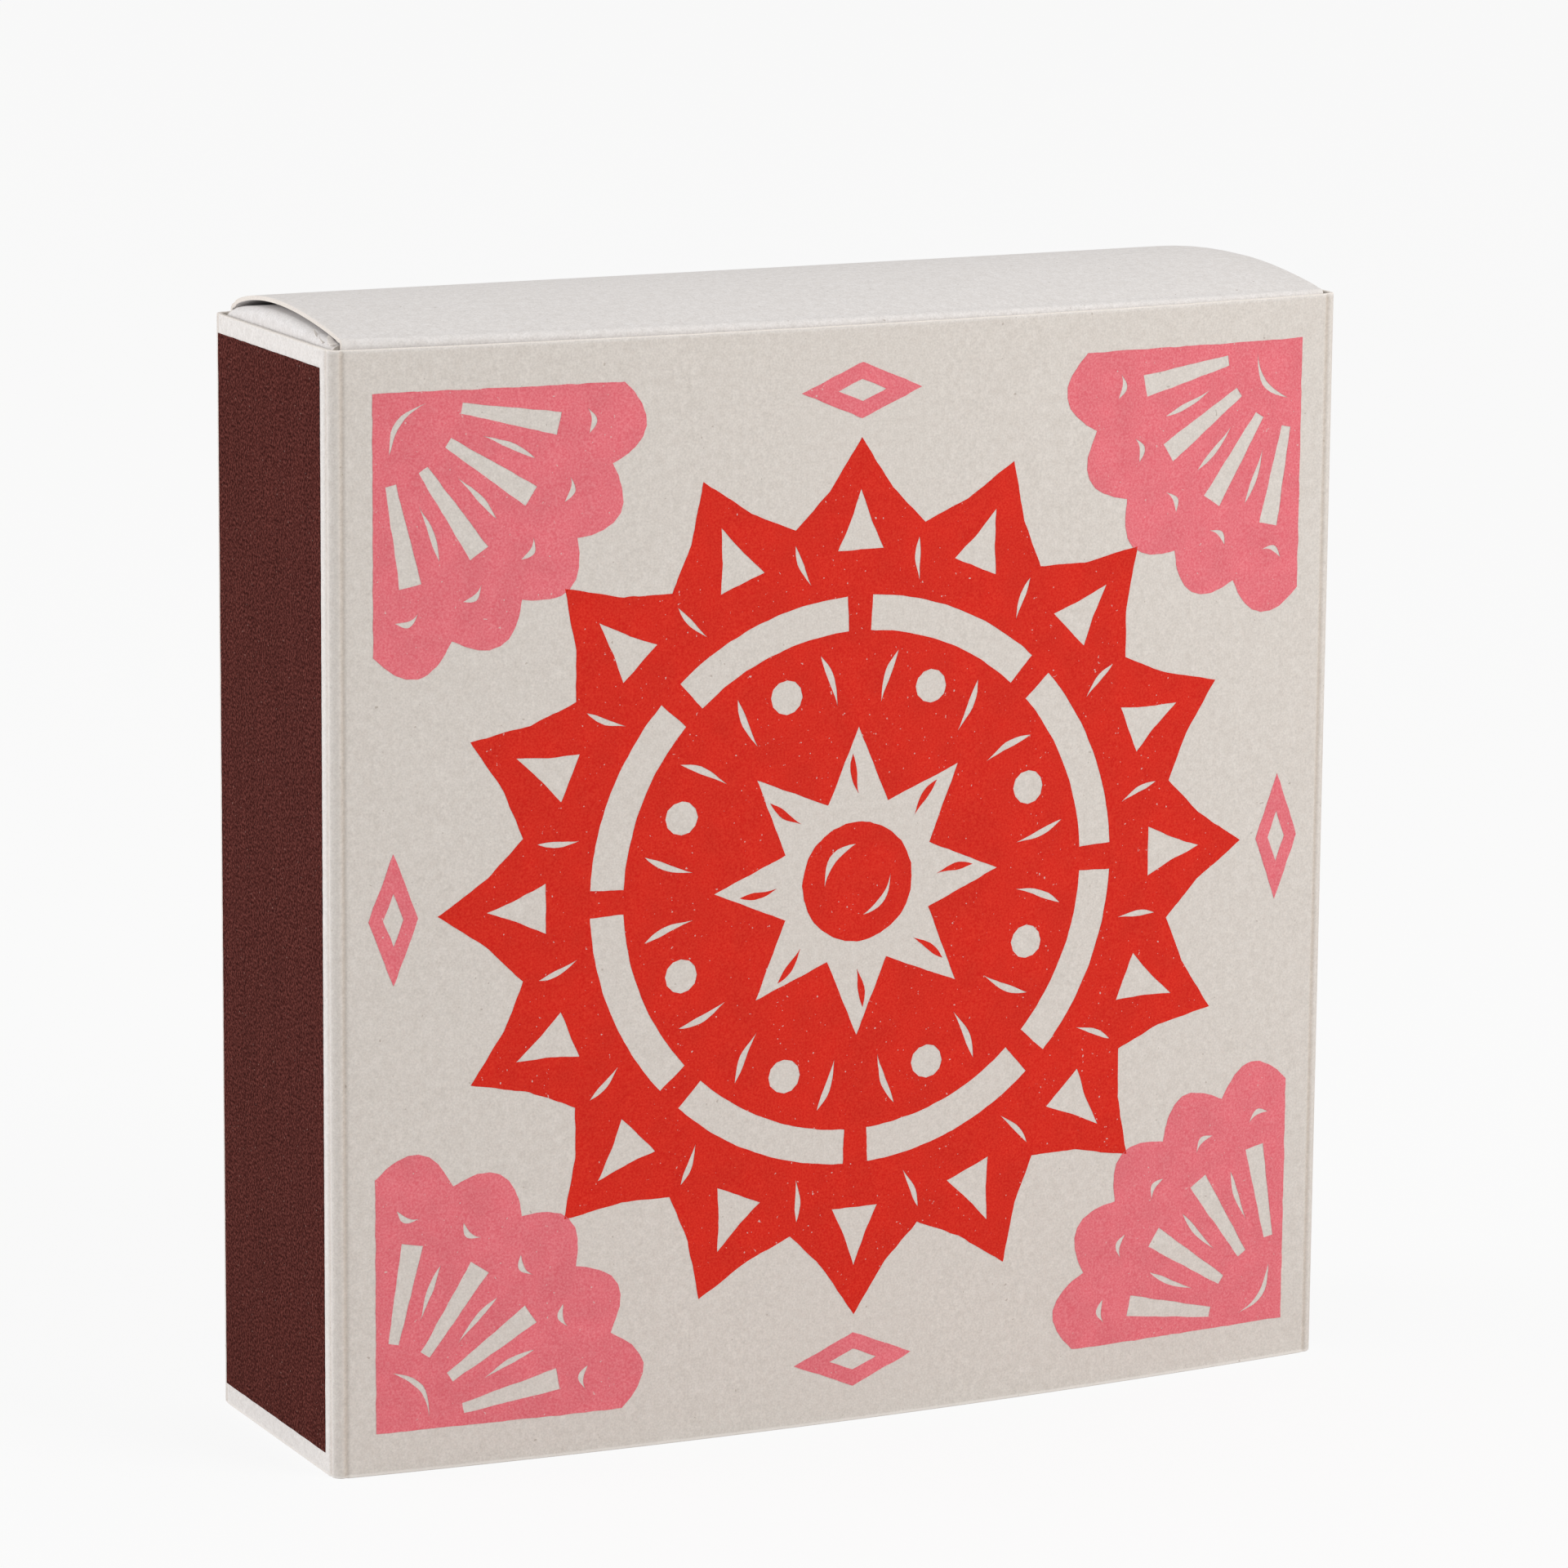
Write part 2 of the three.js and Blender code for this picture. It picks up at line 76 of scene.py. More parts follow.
def as_seen(red, green, blue):
    """A colour read off as 0 to 255 on a screen, in the linear scale that shaders take."""
    def linear(level):
        share = level / 255
        return share / 12.92 if share <= 0.04045 else ((share + 0.055) / 1.055) ** 2.4

    return (linear(red), linear(green), linear(blue), 1.0)


def grey(level):
    return (level, level, level, 1.0)


def add_lamp(name, place, size, power, colour):
    """A square soft box that faces the middle of the matchbox."""
    data = bpy.data.lights.new(name, "AREA")
    data.size = size
    data.energy = power
    data.color = colour
    lamp = bpy.data.objects.new(name, data)
    lamp.location = place
    lamp.rotation_euler = (aim - Vector(place)).to_track_quat("-Z", "Y").to_euler()
    bpy.context.collection.objects.link(lamp)


add_lamp("lamp_left", place=(-1.2, 0.42, 0.36), size=0.7, power=8.3, colour=(0.985, 0.985, 1.0))
add_lamp("lamp_right", place=(0.43, -0.57, 0.5), size=0.4, power=3.4, colour=(1.0, 0.98, 0.955))

dome_strength = 0.56
dome_colour = (1.0, 0.985, 0.965, 1.0)
dome = bpy.data.worlds.new("dome")
bpy.context.scene.world = dome
dome.use_nodes = True
dome_links = dome.node_tree.links
dome_rays = dome.node_tree.nodes.new("ShaderNodeLightPath")
dome_sky = dome.node_tree.nodes["Background"]
dome_sky.inputs["Color"].default_value = dome_colour
dome_sky.inputs["Strength"].default_value = dome_strength
dome_white = dome.node_tree.nodes.new("ShaderNodeBackground")
dome_choice = dome.node_tree.nodes.new("ShaderNodeMixShader")
dome_links.new(dome_rays.outputs["Is Camera Ray"], dome_choice.inputs["Fac"])
dome_links.new(dome_sky.outputs["Background"], dome_choice.inputs[1])
dome_links.new(dome_white.outputs["Background"], dome_choice.inputs[2])
dome_links.new(dome_choice.outputs["Shader"], dome.node_tree.nodes["World Output"].inputs["Surface"])

floor_reach = 4.0
floor_drop = 0.00001
floor_tone = 0.68
floor_white = 0.9  # share of plain white in what the camera sees of the floor
floor_mesh = bpy.data.meshes.new("floor")
floor_sides = ((-1, -1), (1, -1), (1, 1), (-1, 1))
floor_corners = [(x * floor_reach, y * floor_reach, -floor_drop) for x, y in floor_sides]
floor_mesh.from_pydata(floor_corners, [], [(0, 1, 2, 3)])
floor = bpy.data.objects.new("floor", floor_mesh)
bpy.context.collection.objects.link(floor)
board = bpy.data.materials.new("white_board")
board.use_nodes = True
board_nodes = board.node_tree.nodes
board_links = board.node_tree.links
board_shader = board_nodes["Principled BSDF"]
board_shader.inputs["Base Color"].default_value = grey(floor_tone)
board_shader.inputs["Roughness"].default_value = 0.9
board_shader.inputs["Specular IOR Level"].default_value = 0.1
board_glow = board_nodes.new("ShaderNodeEmission")
board_rays = board_nodes.new("ShaderNodeLightPath")
board_share = board_nodes.new("ShaderNodeMath")
board_share.operation = "MULTIPLY"
board_share.inputs[1].default_value = floor_white
board_mix = board_nodes.new("ShaderNodeMixShader")
board_links.new(board_rays.outputs["Is Camera Ray"], board_share.inputs[0])
board_links.new(board_share.outputs["Value"], board_mix.inputs["Fac"])
board_links.new(board_shader.outputs["BSDF"], board_mix.inputs[1])
board_links.new(board_glow.outputs["Emission"], board_mix.inputs[2])
board_links.new(board_mix.outputs["Shader"], board_nodes["Material Output"].inputs["Surface"])
floor_mesh.materials.append(board)


# Sleeve
# One sheet of white-lined card, printed cream outside, scored and folded round into a flat tube. Its
# broad panels spring outwards between the folds, and both ends are left as cut.
card = 0.00045
fold_radius = 0.0013
front_bow = 0.0026
back_bow = 0.0012
score_depth = 0.00015
score_width = 0.00023
score_offset = 0.0001  # from the end of a fold's round to the middle of its score line
seam_depth = 0.0002
seam_width = 0.0001
cut_round = 0.00007
cut_wander = 0.00003
cut_wave = 0.0025  # length of one waver along the upper cut end
cut_wander_reach = 0.002  # how far down the wavers fade out
cream_start = 0.1  # share of a fold's round, from the narrow side, at which the cream begins
cream_blend = 0.25  # share of the round over which it comes in
cut_highlight_band = 0.0004  # from a cut end to where the cream is full; the bare pale band is a painted highlight along the cut ends
fold_gaps = (0.0, 0.00012, 0.00024, 0.00036, 0.0005, 0.0007, 0.001)  # from a fold to the points beside it
even_from = 0.0014  # from a fold to where a panel's points are evenly spaced

sleeve_low, sleeve_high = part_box("sleeve")
half_width = sleeve_high.x
height = sleeve_high.z
fold_x = half_width - fold_radius
front_edge = sleeve_low.y + front_bow
back_edge = sleeve_high.y - back_bow


def front_depth(x):
    """Y of the front panel's face."""
    return front_edge - front_bow * (1 - (x / fold_x) ** 2)


def back_depth(x):
    """Y of the back panel's face."""
    return back_edge + back_bow * (1 - (x / fold_x) ** 2)


def score_dip(along):
    """Depth of the score line at a distance along the card from the end of a fold's round."""
    return score_depth * math.exp(-(((along + score_offset) / score_width) ** 2))


def seam_dip(gap):
    """Depth of the seam where the right side's raw edge meets the back right fold."""
    return seam_depth * math.exp(-((gap / seam_width) ** 2))


def panel_places(half, steps):
    """Places across a panel from -half to half, closer together beside the folds."""
    inner_half = half - even_from
    middle = [-inner_half + 2 * inner_half * step / steps for step in range(steps + 1)]
    return [-half + gap for gap in fold_gaps] + middle + [half - gap for gap in reversed(fold_gaps)]


def sleeve_line():
    """The outer line of the tube seen from above: point, way out of the card, cream and crease."""
    line = []

    def add_panel(points, facing, cream, reach):
        for point, along in points:
            dip = score_dip(min(along, reach - along))
            line.append((point - facing * dip, facing, cream, dip / score_depth))

    def add_fold(centre, start, to_cream):
        steps = 12
        for step in range(1, steps):
            share = step / steps
            angle = start + share * math.pi / 2
            facing = Vector((math.cos(angle), math.sin(angle), 0))
            along = -fold_radius * math.pi / 2 * min(share, 1 - share)
            from_side = share if to_cream else 1 - share
            cream = min(max((from_side - cream_start) / cream_blend, 0), 1)
            dip = score_dip(along)
            line.append((centre + facing * (fold_radius - dip), facing, cream, dip / score_depth))

    side_reach = back_edge - front_edge - 2 * fold_radius
    side_middle = (front_edge + back_edge) / 2
    across = panel_places(fold_x, steps=60)
    deep = panel_places(side_reach / 2, steps=12)
    front_centre = front_edge + fold_radius
    back_centre = back_edge - fold_radius
    front = [(Vector((x, front_depth(x), 0)), x + fold_x) for x in across]
    right = [
        (Vector((half_width - seam_dip(side_reach / 2 - y), side_middle + y, 0)), y + side_reach / 2)
        for y in deep
    ]
    back = [(Vector((x, back_depth(x), 0)), x + fold_x) for x in reversed(across)]
    left = [(Vector((-half_width, side_middle + y, 0)), y + side_reach / 2) for y in reversed(deep)]
    add_panel(front, Vector((0, -1, 0)), 1, 2 * fold_x)
    add_fold(Vector((fold_x, front_centre, 0)), -math.pi / 2, False)
    add_panel(right, Vector((1, 0, 0)), 0, side_reach)
    add_fold(Vector((fold_x, back_centre, 0)), 0, True)
    add_panel(back, Vector((0, 1, 0)), 1, 2 * fold_x)
    add_fold(Vector((-fold_x, back_centre, 0)), math.pi / 2, False)
    add_panel(left, Vector((-1, 0, 0)), 0, side_reach)
    add_fold(Vector((-fold_x, front_centre, 0)), math.pi, True)
    return line


def new_finish(name, roughness, gloss):
    """A material with the roughness and gloss of one finish."""
    finish = bpy.data.materials.new(name)
    finish.use_nodes = True
    shader = finish.node_tree.nodes["Principled BSDF"]
    shader.inputs["Roughness"].default_value = roughness
    shader.inputs["Specular IOR Level"].default_value = gloss
    return finish


def spots(finish, size, detail=2.0, stretch=(1, 1, 1)):
    """Noise with spots of a size in millimetres, drawn out along each axis by its stretch."""
    nodes = finish.node_tree.nodes
    links = finish.node_tree.links
    place = nodes.new("ShaderNodeTexCoord")
    scale = nodes.new("ShaderNodeMapping")
    scale.inputs["Scale"].default_value = [1000 / size / length for length in stretch]
    cloud = nodes.new("ShaderNodeTexNoise")
    cloud.inputs["Scale"].default_value = 1
    cloud.inputs["Detail"].default_value = detail
    links.new(place.outputs["Object"], scale.inputs["Vector"])
    links.new(scale.outputs["Vector"], cloud.inputs["Vector"])
    return cloud.outputs["Fac"]


def graded(finish, value, stops):
    """Colours that follow a value: stops are pairs of a level and a colour."""
    ramp = finish.node_tree.nodes.new("ShaderNodeValToRGB")
    elements = ramp.color_ramp.elements
    while len(elements) < len(stops):
        elements.new(0.5)
    for element, (level, colour) in zip(elements, stops):
        element.position = level
        element.color = colour
    finish.node_tree.links.new(value, ramp.inputs["Fac"])
    return ramp.outputs["Color"]


def laid_over(finish, kind, share, below, above):
    """One colour laid over another: MIX, MULTIPLY and so on, by a share that is a number or a value."""
    mix = finish.node_tree.nodes.new("ShaderNodeMixRGB")
    mix.blend_type = kind
    for socket, source in zip(("Fac", "Color1", "Color2"), (share, below, above)):
        if isinstance(source, bpy.types.NodeSocket):
            finish.node_tree.links.new(source, mix.inputs[socket])
        else:
            mix.inputs[socket].default_value = source
    return mix.outputs["Color"]


def colour_with(finish, colour):
    shader = finish.node_tree.nodes["Principled BSDF"]
    finish.node_tree.links.new(colour, shader.inputs["Base Color"])


def relief_with(finish, value, depth, strength=1.0):
    """Lets a value raise the surface by up to a depth in metres."""
    bump = finish.node_tree.nodes.new("ShaderNodeBump")
    bump.inputs["Distance"].default_value = depth
    bump.inputs["Strength"].default_value = strength
    finish.node_tree.links.new(value, bump.inputs["Height"])
    shader = finish.node_tree.nodes["Principled BSDF"]
    finish.node_tree.links.new(bump.outputs["Normal"], shader.inputs["Normal"])


def vertex_share(finish, name):
    """A share from 0 to 1 that the vertices of the mesh carry."""
    carried = finish.node_tree.nodes.new("ShaderNodeAttribute")
    carried.attribute_name = name
    return carried.outputs["Fac"]


def card_face(name, tone, cream=None):
    """Coated card: cloudy mottling, a fine tooth, folds rubbed white with a painted highlight on them,
    painted shade in the score lines, a few dark flecks, cream where asked.
    """
    finish = new_finish(name, roughness=0.72, gloss=0.25)
    painted_crease_shade = (0.88, 0.84, 0.8, 1)
    dull = (0.945, 0.94, 0.935, 1)
    bright = (1.03, 1.035, 1.04, 1)
    rubbed_white_and_highlight = as_seen(240, 235, 230)
    fleck_brown = as_seen(120, 96, 74)
    ground = tone
    if cream:
        printed = laid_over(finish, "MIX", vertex_share(finish, "cream"), tone, cream)
        # painted shade: the crease share darkens the card along the score lines, where shade falls in the
        # grooves
        ground = laid_over(finish, "MULTIPLY", vertex_share(finish, "crease"), printed, painted_crease_shade)
    clouds = graded(finish, spots(finish, size=0.7, detail=3.0), [(0.3, dull), (0.7, bright)])
    tooth = graded(finish, spots(finish, size=0.2, detail=1.0), [(0.25, grey(0.91)), (0.75, grey(1.08))])
    clouded = laid_over(finish, "MULTIPLY", 1.0, ground, clouds)
    toothed = laid_over(finish, "MULTIPLY", 1.0, clouded, tooth)
    # convex folds are painted paler: partly card rubbed white at the folds, partly a painted highlight
    # where the folds catch the light
    curve = finish.node_tree.nodes.new("ShaderNodeNewGeometry").outputs["Pointiness"]
    worn_and_lit_folds = graded(finish, curve, [(0.515, grey(0)), (0.6, grey(0.7))])
    rubbed_and_highlit = laid_over(finish, "MIX", worn_and_lit_folds, toothed, rubbed_white_and_highlight)
    flecks = graded(finish, spots(finish, size=0.42, detail=0.0), [(0.85, grey(0)), (0.88, grey(0.35))])
    colour_with(finish, laid_over(finish, "MIX", flecks, rubbed_and_highlit, fleck_brown))
    relief_with(finish, spots(finish, size=0.25, detail=3.0), depth=0.00003, strength=0.6)
    return finish


def cut_card(name, tone):
    """The raw edge of cut card: a pale core with layers of fibre along it."""
    finish = new_finish(name, roughness=0.9, gloss=0.15)
    fibres = graded(finish, spots(finish, size=0.12, detail=3.0), [(0.3, grey(0.86)), (0.7, grey(1.04))])
    colour_with(finish, laid_over(finish, "MULTIPLY", 1.0, tone, fibres))
    relief_with(finish, spots(finish, size=0.09, detail=2.0), depth=0.00003, strength=0.7)
    return finish


def finish_piece(name, mesh, finishes, body, smooth_to=35):
    """Turns a mesh into a piece that rides on a body, with round surfaces shaded smooth."""
    data = bpy.data.meshes.new(name)
    bmesh.ops.recalc_face_normals(mesh, faces=mesh.faces)
    mesh.to_mesh(data)
    mesh.free()
    data.shade_smooth()
    data.set_sharp_from_angle(angle=math.radians(smooth_to))
    for finish in finishes:
        data.materials.append(finish)
    piece = bpy.data.objects.new(name, data)
    bpy.context.collection.objects.link(piece)
    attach(piece, body)
    return piece


def sleeve_rows():
    """Heights of the tube's rings with their depth in the card, up the outside and down the inside."""
    steps = 24
    near_cut = [cut_round, 0.55 * cut_highlight_band, cut_highlight_band]
    low = near_cut[-1]
    middle = [low + (height - 2 * low) * step / steps for step in range(1, steps)]
    walls = near_cut + middle + [height - gap for gap in reversed(near_cut)]
    outside = [(z, 0.0) for z in walls]
    inside = [(z, card) for z in reversed(walls)]
    upper_cut = [(height, cut_round), (height, card - cut_round)]
    lower_cut = [(0.0, card - cut_round), (0.0, cut_round)]
    return outside + upper_cut + inside + lower_cut


def make_sleeve():
    mesh = bmesh.new()
    cream = mesh.verts.layers.float.new("cream")
    crease = mesh.verts.layers.float.new("crease")
    line = sleeve_line()
    rows = sleeve_rows()
    rings = []
    for z, depth in rows:
        ring = []
        for point, facing, cream_share, crease_share in line:
            wander = noise.noise(Vector((point.x, point.y, z)) / cut_wave) * cut_wander
            lift = wander * max(0.0, 1 - (height - z) / cut_wander_reach)
            vertex = mesh.verts.new(point - facing * depth + Vector((0, 0, z + lift)))
            from_cut = min(z, height - z)
            # painted highlight: the cream thins out towards each cut end, leaving a pale band along it
            vertex[cream] = cream_share * min(from_cut / cut_highlight_band, 1) if depth <= cut_round else 0.0
            # the crease share sets the painted shade along the score lines
            vertex[crease] = crease_share
            ring.append(vertex)
        rings.append(ring)
    count = len(line)
    for index, ring in enumerate(rings):
        above = rings[(index + 1) % len(rings)]
        depth = rows[index][1]
        next_depth = rows[(index + 1) % len(rings)][1]
        is_cut = depth != next_depth
        for place in range(count):
            beside = (place + 1) % count
            face = mesh.faces.new((ring[place], ring[beside], above[beside], above[place]))
            face.material_index = 2 if is_cut else (1 if depth else 0)
    return mesh


sleeve_tone = as_seen(233, 229, 226)
cream_tone = as_seen(221, 215, 209)
sleeve_face = card_face("sleeve_card", sleeve_tone, cream_tone)
sleeve_lining = card_face("sleeve_lining", as_seen(226, 221, 214))
# the cut ends' tone is the pale core of the card, raised further as a painted highlight along the cut edges
sleeve_cut = cut_card("sleeve_cut", as_seen(246, 240, 234))
sleeve_finishes = [sleeve_face, sleeve_lining, sleeve_cut]
sleeve = finish_piece("sleeve_tube", make_sleeve(), sleeve_finishes, "sleeve")
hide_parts("sleeve")


# Glue lap
# The sheet's last panel, turned in at the back right fold and glued flat inside the right side. It
# stops short of both ends, so that the tray runs past it.
lap_width = 0.022
lap_set_back = 0.0015
lap_fold_gap = 0.0005  # from the end of the fold's round to the lap
glue_film = 0.00001


def card_sheet(rows):
    """A closed sheet of card from a grid of points on its middle, each with the way that it faces."""
    mesh = bmesh.new()
    faces = [[mesh.verts.new(point + facing * card / 2) for point, facing in row] for row in rows]
    backs = [[mesh.verts.new(point - facing * card / 2) for point, facing in row] for row in rows]
    tall = len(rows)
    wide = len(rows[0])
    for layer in (faces, backs):
        for row in range(tall - 1):
            for column in range(wide - 1):
                below = layer[row][column : column + 2]
                above = layer[row + 1][column : column + 2]
                mesh.faces.new((*below, *reversed(above)))
    border = [(0, column) for column in range(wide)]
    border += [(row, wide - 1) for row in range(1, tall)]
    border += [(tall - 1, column) for column in range(wide - 2, -1, -1)]
    border += [(row, 0) for row in range(tall - 2, 0, -1)]
    for (row, column), (next_row, next_column) in zip(border, border[1:] + border[:1]):
        corners = (
            faces[row][column],
            faces[next_row][next_column],
            backs[next_row][next_column],
            backs[row][column],
        )
        edge = mesh.faces.new(corners)
        edge.material_index = 1
    return mesh


def soften_cut(piece):
    """Rounds the raw edges of a sheet."""
    bevel = piece.modifiers.new("cut_round", "BEVEL")
    bevel.width = cut_round
    bevel.segments = 2
    bevel.limit_method = "ANGLE"
    bevel.angle_limit = math.radians(60)


lap_x = half_width - card * 1.5 - glue_film
lap_back = back_edge - fold_radius - lap_fold_gap
lap_rows = []
for z in (lap_set_back, height - lap_set_back):
    lap_rows.append([(Vector((lap_x, y, z)), Vector((-1, 0, 0))) for y in (lap_back - lap_width, lap_back)])
lap = finish_piece("sleeve_lap", card_sheet(lap_rows), [sleeve_lining, sleeve_cut], "sleeve")
soften_cut(lap)


# Striking strips
# A rough dark brown coat, printed as a plain strip on each narrow side with a bare margin round it.
# It stands a hair above the card, and its edges follow the grain of the coat.
striker_coat = 0.00005
film_lift = 0.00001
striker_spacing = 0.0004
striker_wander = 0.00004
blade_wave = 0.0016  # length of one waver of the blade along a cut outline
fine_wave = blade_wave / 3.1
fine_share = 0.4
waver_seed = 3  # settles the wavers of every hand-cut outline, and the bends of the splints
noise.seed_set(waver_seed)


def hand_cut(corners, spacing, wander, seed=0.0):
    """A closed outline with points at an even spacing, each moved a little as by a hand-held blade."""
    outline = []
    for start, end in zip(corners, corners[1:] + corners[:1]):
        count = max(1, round((end - start).length / spacing))
        for step in range(count):
            point = start.lerp(end, step / count)
            at = Vector((point.x, point.y, seed))
            drift = noise.noise_vector(at / blade_wave) + noise.noise_vector(at / fine_wave) * fine_share
            outline.append(point + Vector((drift.x, drift.y)) * wander)
    return outline


def film(outline, holes, thickness, place, strip_width=None):
    """A thin closed film with holes. place turns a flat point and a distance off the card into a point."""
    mesh = bmesh.new()
    loops = [[Vector((point.x, point.y, 0)) for point in loop] for loop in [outline, *holes]]
    vertices = [mesh.verts.new(point) for loop in loops for point in loop]
    for corners in tessellate_polygon(loops):
        try:
            mesh.faces.new([vertices[corner] for corner in corners])
        except ValueError:
            continue
    loose = [vertex for vertex in mesh.verts if not vertex.link_faces]
    bmesh.ops.delete(mesh, geom=loose, context="VERTS")
    if strip_width:
        low = min(point.x for point in outline)
        high = max(point.x for point in outline)
        cut = low + strip_width
        while cut < high:
            everything = [*mesh.verts, *mesh.edges, *mesh.faces]
            bmesh.ops.bisect_plane(
                mesh, geom=everything, plane_co=(cut, 0, 0), plane_no=(1, 0, 0), dist=1e-8
            )
            cut += strip_width
    under = list(mesh.verts)
    raised = bmesh.ops.extrude_face_region(mesh, geom=list(mesh.faces))
    over = [item for item in raised["geom"] if isinstance(item, bmesh.types.BMVert)]
    for vertex in over:
        vertex.co = place(vertex.co.x, vertex.co.y, film_lift + thickness)
    for vertex in under:
        vertex.co = place(vertex.co.x, vertex.co.y, film_lift)
    return mesh


def striker_finish():
    """Dark brown grit in a binder: fine grain, pale specks and faint streaks along the strip."""
    finish = new_finish("striker_coat", roughness=0.95, gloss=0.04)
    speck_grey = as_seen(172, 138, 128)
    grit = graded(
        finish,
        spots(finish, size=0.27, detail=2.0),
        [(0.36, as_seen(53, 20, 17)), (0.5, as_seen(80, 37, 33)), (0.64, as_seen(110, 60, 54))],
    )
    streaks = graded(
        finish,
        spots(finish, size=1.6, detail=3.0, stretch=(1, 1, 9)),
        [(0.35, grey(0.94)), (0.7, grey(1.08))],
    )
    streaked = laid_over(finish, "MULTIPLY", 1.0, grit, streaks)
    specks = graded(finish, spots(finish, size=0.28, detail=0.0), [(0.81, grey(0)), (0.85, grey(0.6))])
    colour_with(finish, laid_over(finish, "MIX", specks, streaked, speck_grey))
    relief_with(finish, spots(finish, size=0.11, detail=3.0), depth=0.00005, strength=0.9)
    return finish


striker_brown = striker_finish()
for side, side_name in ((-1, "left"), (1, "right")):
    strip_low, strip_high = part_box(f"striker_{side_name}")
    strip_corners = [
        Vector((strip_low.y, strip_low.z)),
        Vector((strip_high.y, strip_low.z)),
        Vector((strip_high.y, strip_high.z)),
        Vector((strip_low.y, strip_high.z)),
    ]
    strip_outline = hand_cut(strip_corners, striker_spacing, striker_wander, side)

    def on_side(y, z, off, side=side):
        return Vector((side * (half_width + off), y, z))

    strip = finish_piece(
        f"striking_strip_{side_name}",
        film(strip_outline, [], striker_coat, on_side),
        [striker_brown],
        "sleeve",
    )
    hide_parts(f"striker_{side_name}")


# Printed sun and corner fans
# Two inks printed from hand-cut blocks on the bowed front: a red sun disc with carved rays, ring,
# dots and star, and pink fans and lozenges round it. The ink is a thin film with small pinholes.
ink_film = 0.00002
ink_strip = 0.002  # width of the strips in which the film follows the bow of the front
ink_spacing = 0.0005
ink_wander = 0.00009
hole_wander = ink_wander * 0.8

sun_low, sun_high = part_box("print_sun")
sun_centre = Vector(((sun_low.x + sun_high.x) / 2, (sun_low.z + sun_high.z) / 2))
sun_reach = sun_high.x - sun_centre.x
ray_count = 16
ray_depth = 0.008
ray_hollow = 0.62  # depth of the point halfway along a ray's side, as a share of the ray's
ray_hollow_place = 0.45  # and its share of the way from tip to notch
ray_hole_tip = 0.005  # from the sun's reach in to the tip of the triangle in each ray
ray_hole_base = 0.011
ray_hole_half_base = 0.0025
ray_hole_half_waist = 0.0012
ray_hole_waist_place = 0.55
ray_stroke = (0.0302, 0.0345)  # where a stroke starts and ends, from the sun's centre
ring_parts = 8
ring_outer = 0.0285
ring_inner = 0.025
ring_web = 0.0024
dot_ring = 0.0205
dot_radius = 0.0017
dot_stroke = (0.0178, 0.0232)
dot_stroke_aside = 0.26  # angle between a dot and the stroke on each side of it
star_points = 8
star_tip = 0.0155
star_notch = 0.0085
star_stroke = (0.0088, 0.0128)
star_stroke_slant = 0.05
button_radius = 0.006


def on_front(x, z, off):
    return Vector((x, front_depth(x) - off, z))


def polar(centre, reach, angle):
    return centre + Vector((math.cos(angle), math.sin(angle))) * reach


def carved_stroke(start, end, width, bend=0.0):
    """A stroke of a gouge: pointed at both ends, widest past its middle, bent to one side."""
    along = end - start
    across = Vector((-along.y, along.x)).normalized()
    steps = 10
    near = []
    far = []
    for step in range(steps + 1):
        share = step / steps
        middle = start + along * share + across * bend * math.sin(math.pi * share)
        half = width / 2 * math.sin(math.pi * share**1.3)
        near.append(middle + across * half)
        far.append(middle - across * half)
    return near[:-1] + list(reversed(far))[:-1]


def sun_stroke(reaches, angles, width, bend):
    """A stroke between two places round the sun, each with its reach and angle from the centre."""
    start, end = (polar(sun_centre, reach, angle) for reach, angle in zip(reaches, angles))
    return carved_stroke(start, end, width, bend)


def round_outline(centre, radius, steps):
    return [polar(centre, radius, 2 * math.pi * step / steps) for step in range(steps)]


def ink_finish(name, full, thin):
    """Matt ink that soaks into the card: cloudy, finely speckled, with pinholes of bare card."""
    finish = new_finish(name, roughness=0.66, gloss=0.2)
    body = graded(finish, spots(finish, size=0.2, detail=3.0), [(0.32, full), (0.72, thin)])
    clouds = graded(finish, spots(finish, size=3.0, detail=2.0), [(0.3, grey(0.95)), (0.7, grey(1.04))])
    clouded = laid_over(finish, "MULTIPLY", 1.0, body, clouds)
    pinholes = graded(finish, spots(finish, size=0.32, detail=1.0), [(0.745, grey(0)), (0.79, grey(0.6))])
    colour_with(finish, laid_over(finish, "MIX", pinholes, clouded, cream_tone))
    relief_with(finish, spots(finish, size=0.2, detail=3.0), depth=0.00002, strength=0.5)
    return finish


red_ink = ink_finish("red_ink", as_seen(211, 24, 9), as_seen(226, 54, 34))
pink_ink = ink_finish("pink_ink", as_seen(228, 103, 116), as_seen(239, 138, 146))


def lay_print(name, outline, holes, ink, node=None):
    """Lays a printed field on the front panel, its outline and holes cut by hand."""
    cut = hand_cut(outline, ink_spacing, ink_wander)
    cut_holes = [hand_cut(hole, ink_spacing, hole_wander) for hole in holes]
    field = film(cut, cut_holes, ink_film, on_front, ink_strip)
    piece = finish_piece(name, field, [ink], "sleeve")
    if node:
        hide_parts(node)


def sun_outline():
    """Sixteen rays with slightly hollow sides."""
    outline = []
    for index in range(ray_count):
        tip = math.pi / 2 + 2 * math.pi * index / ray_count
        notch = tip + math.pi / ray_count
        beyond = tip + 2 * math.pi / ray_count
        hollow = sun_reach - ray_depth * ray_hollow
        outline += [
            polar(sun_centre, sun_reach, tip),
            polar(sun_centre, hollow, tip + (notch - tip) * ray_hollow_place),
            polar(sun_centre, sun_reach - ray_depth, notch),
            polar(sun_centre, hollow, beyond - (beyond - notch) * ray_hollow_place),
        ]
    return outline


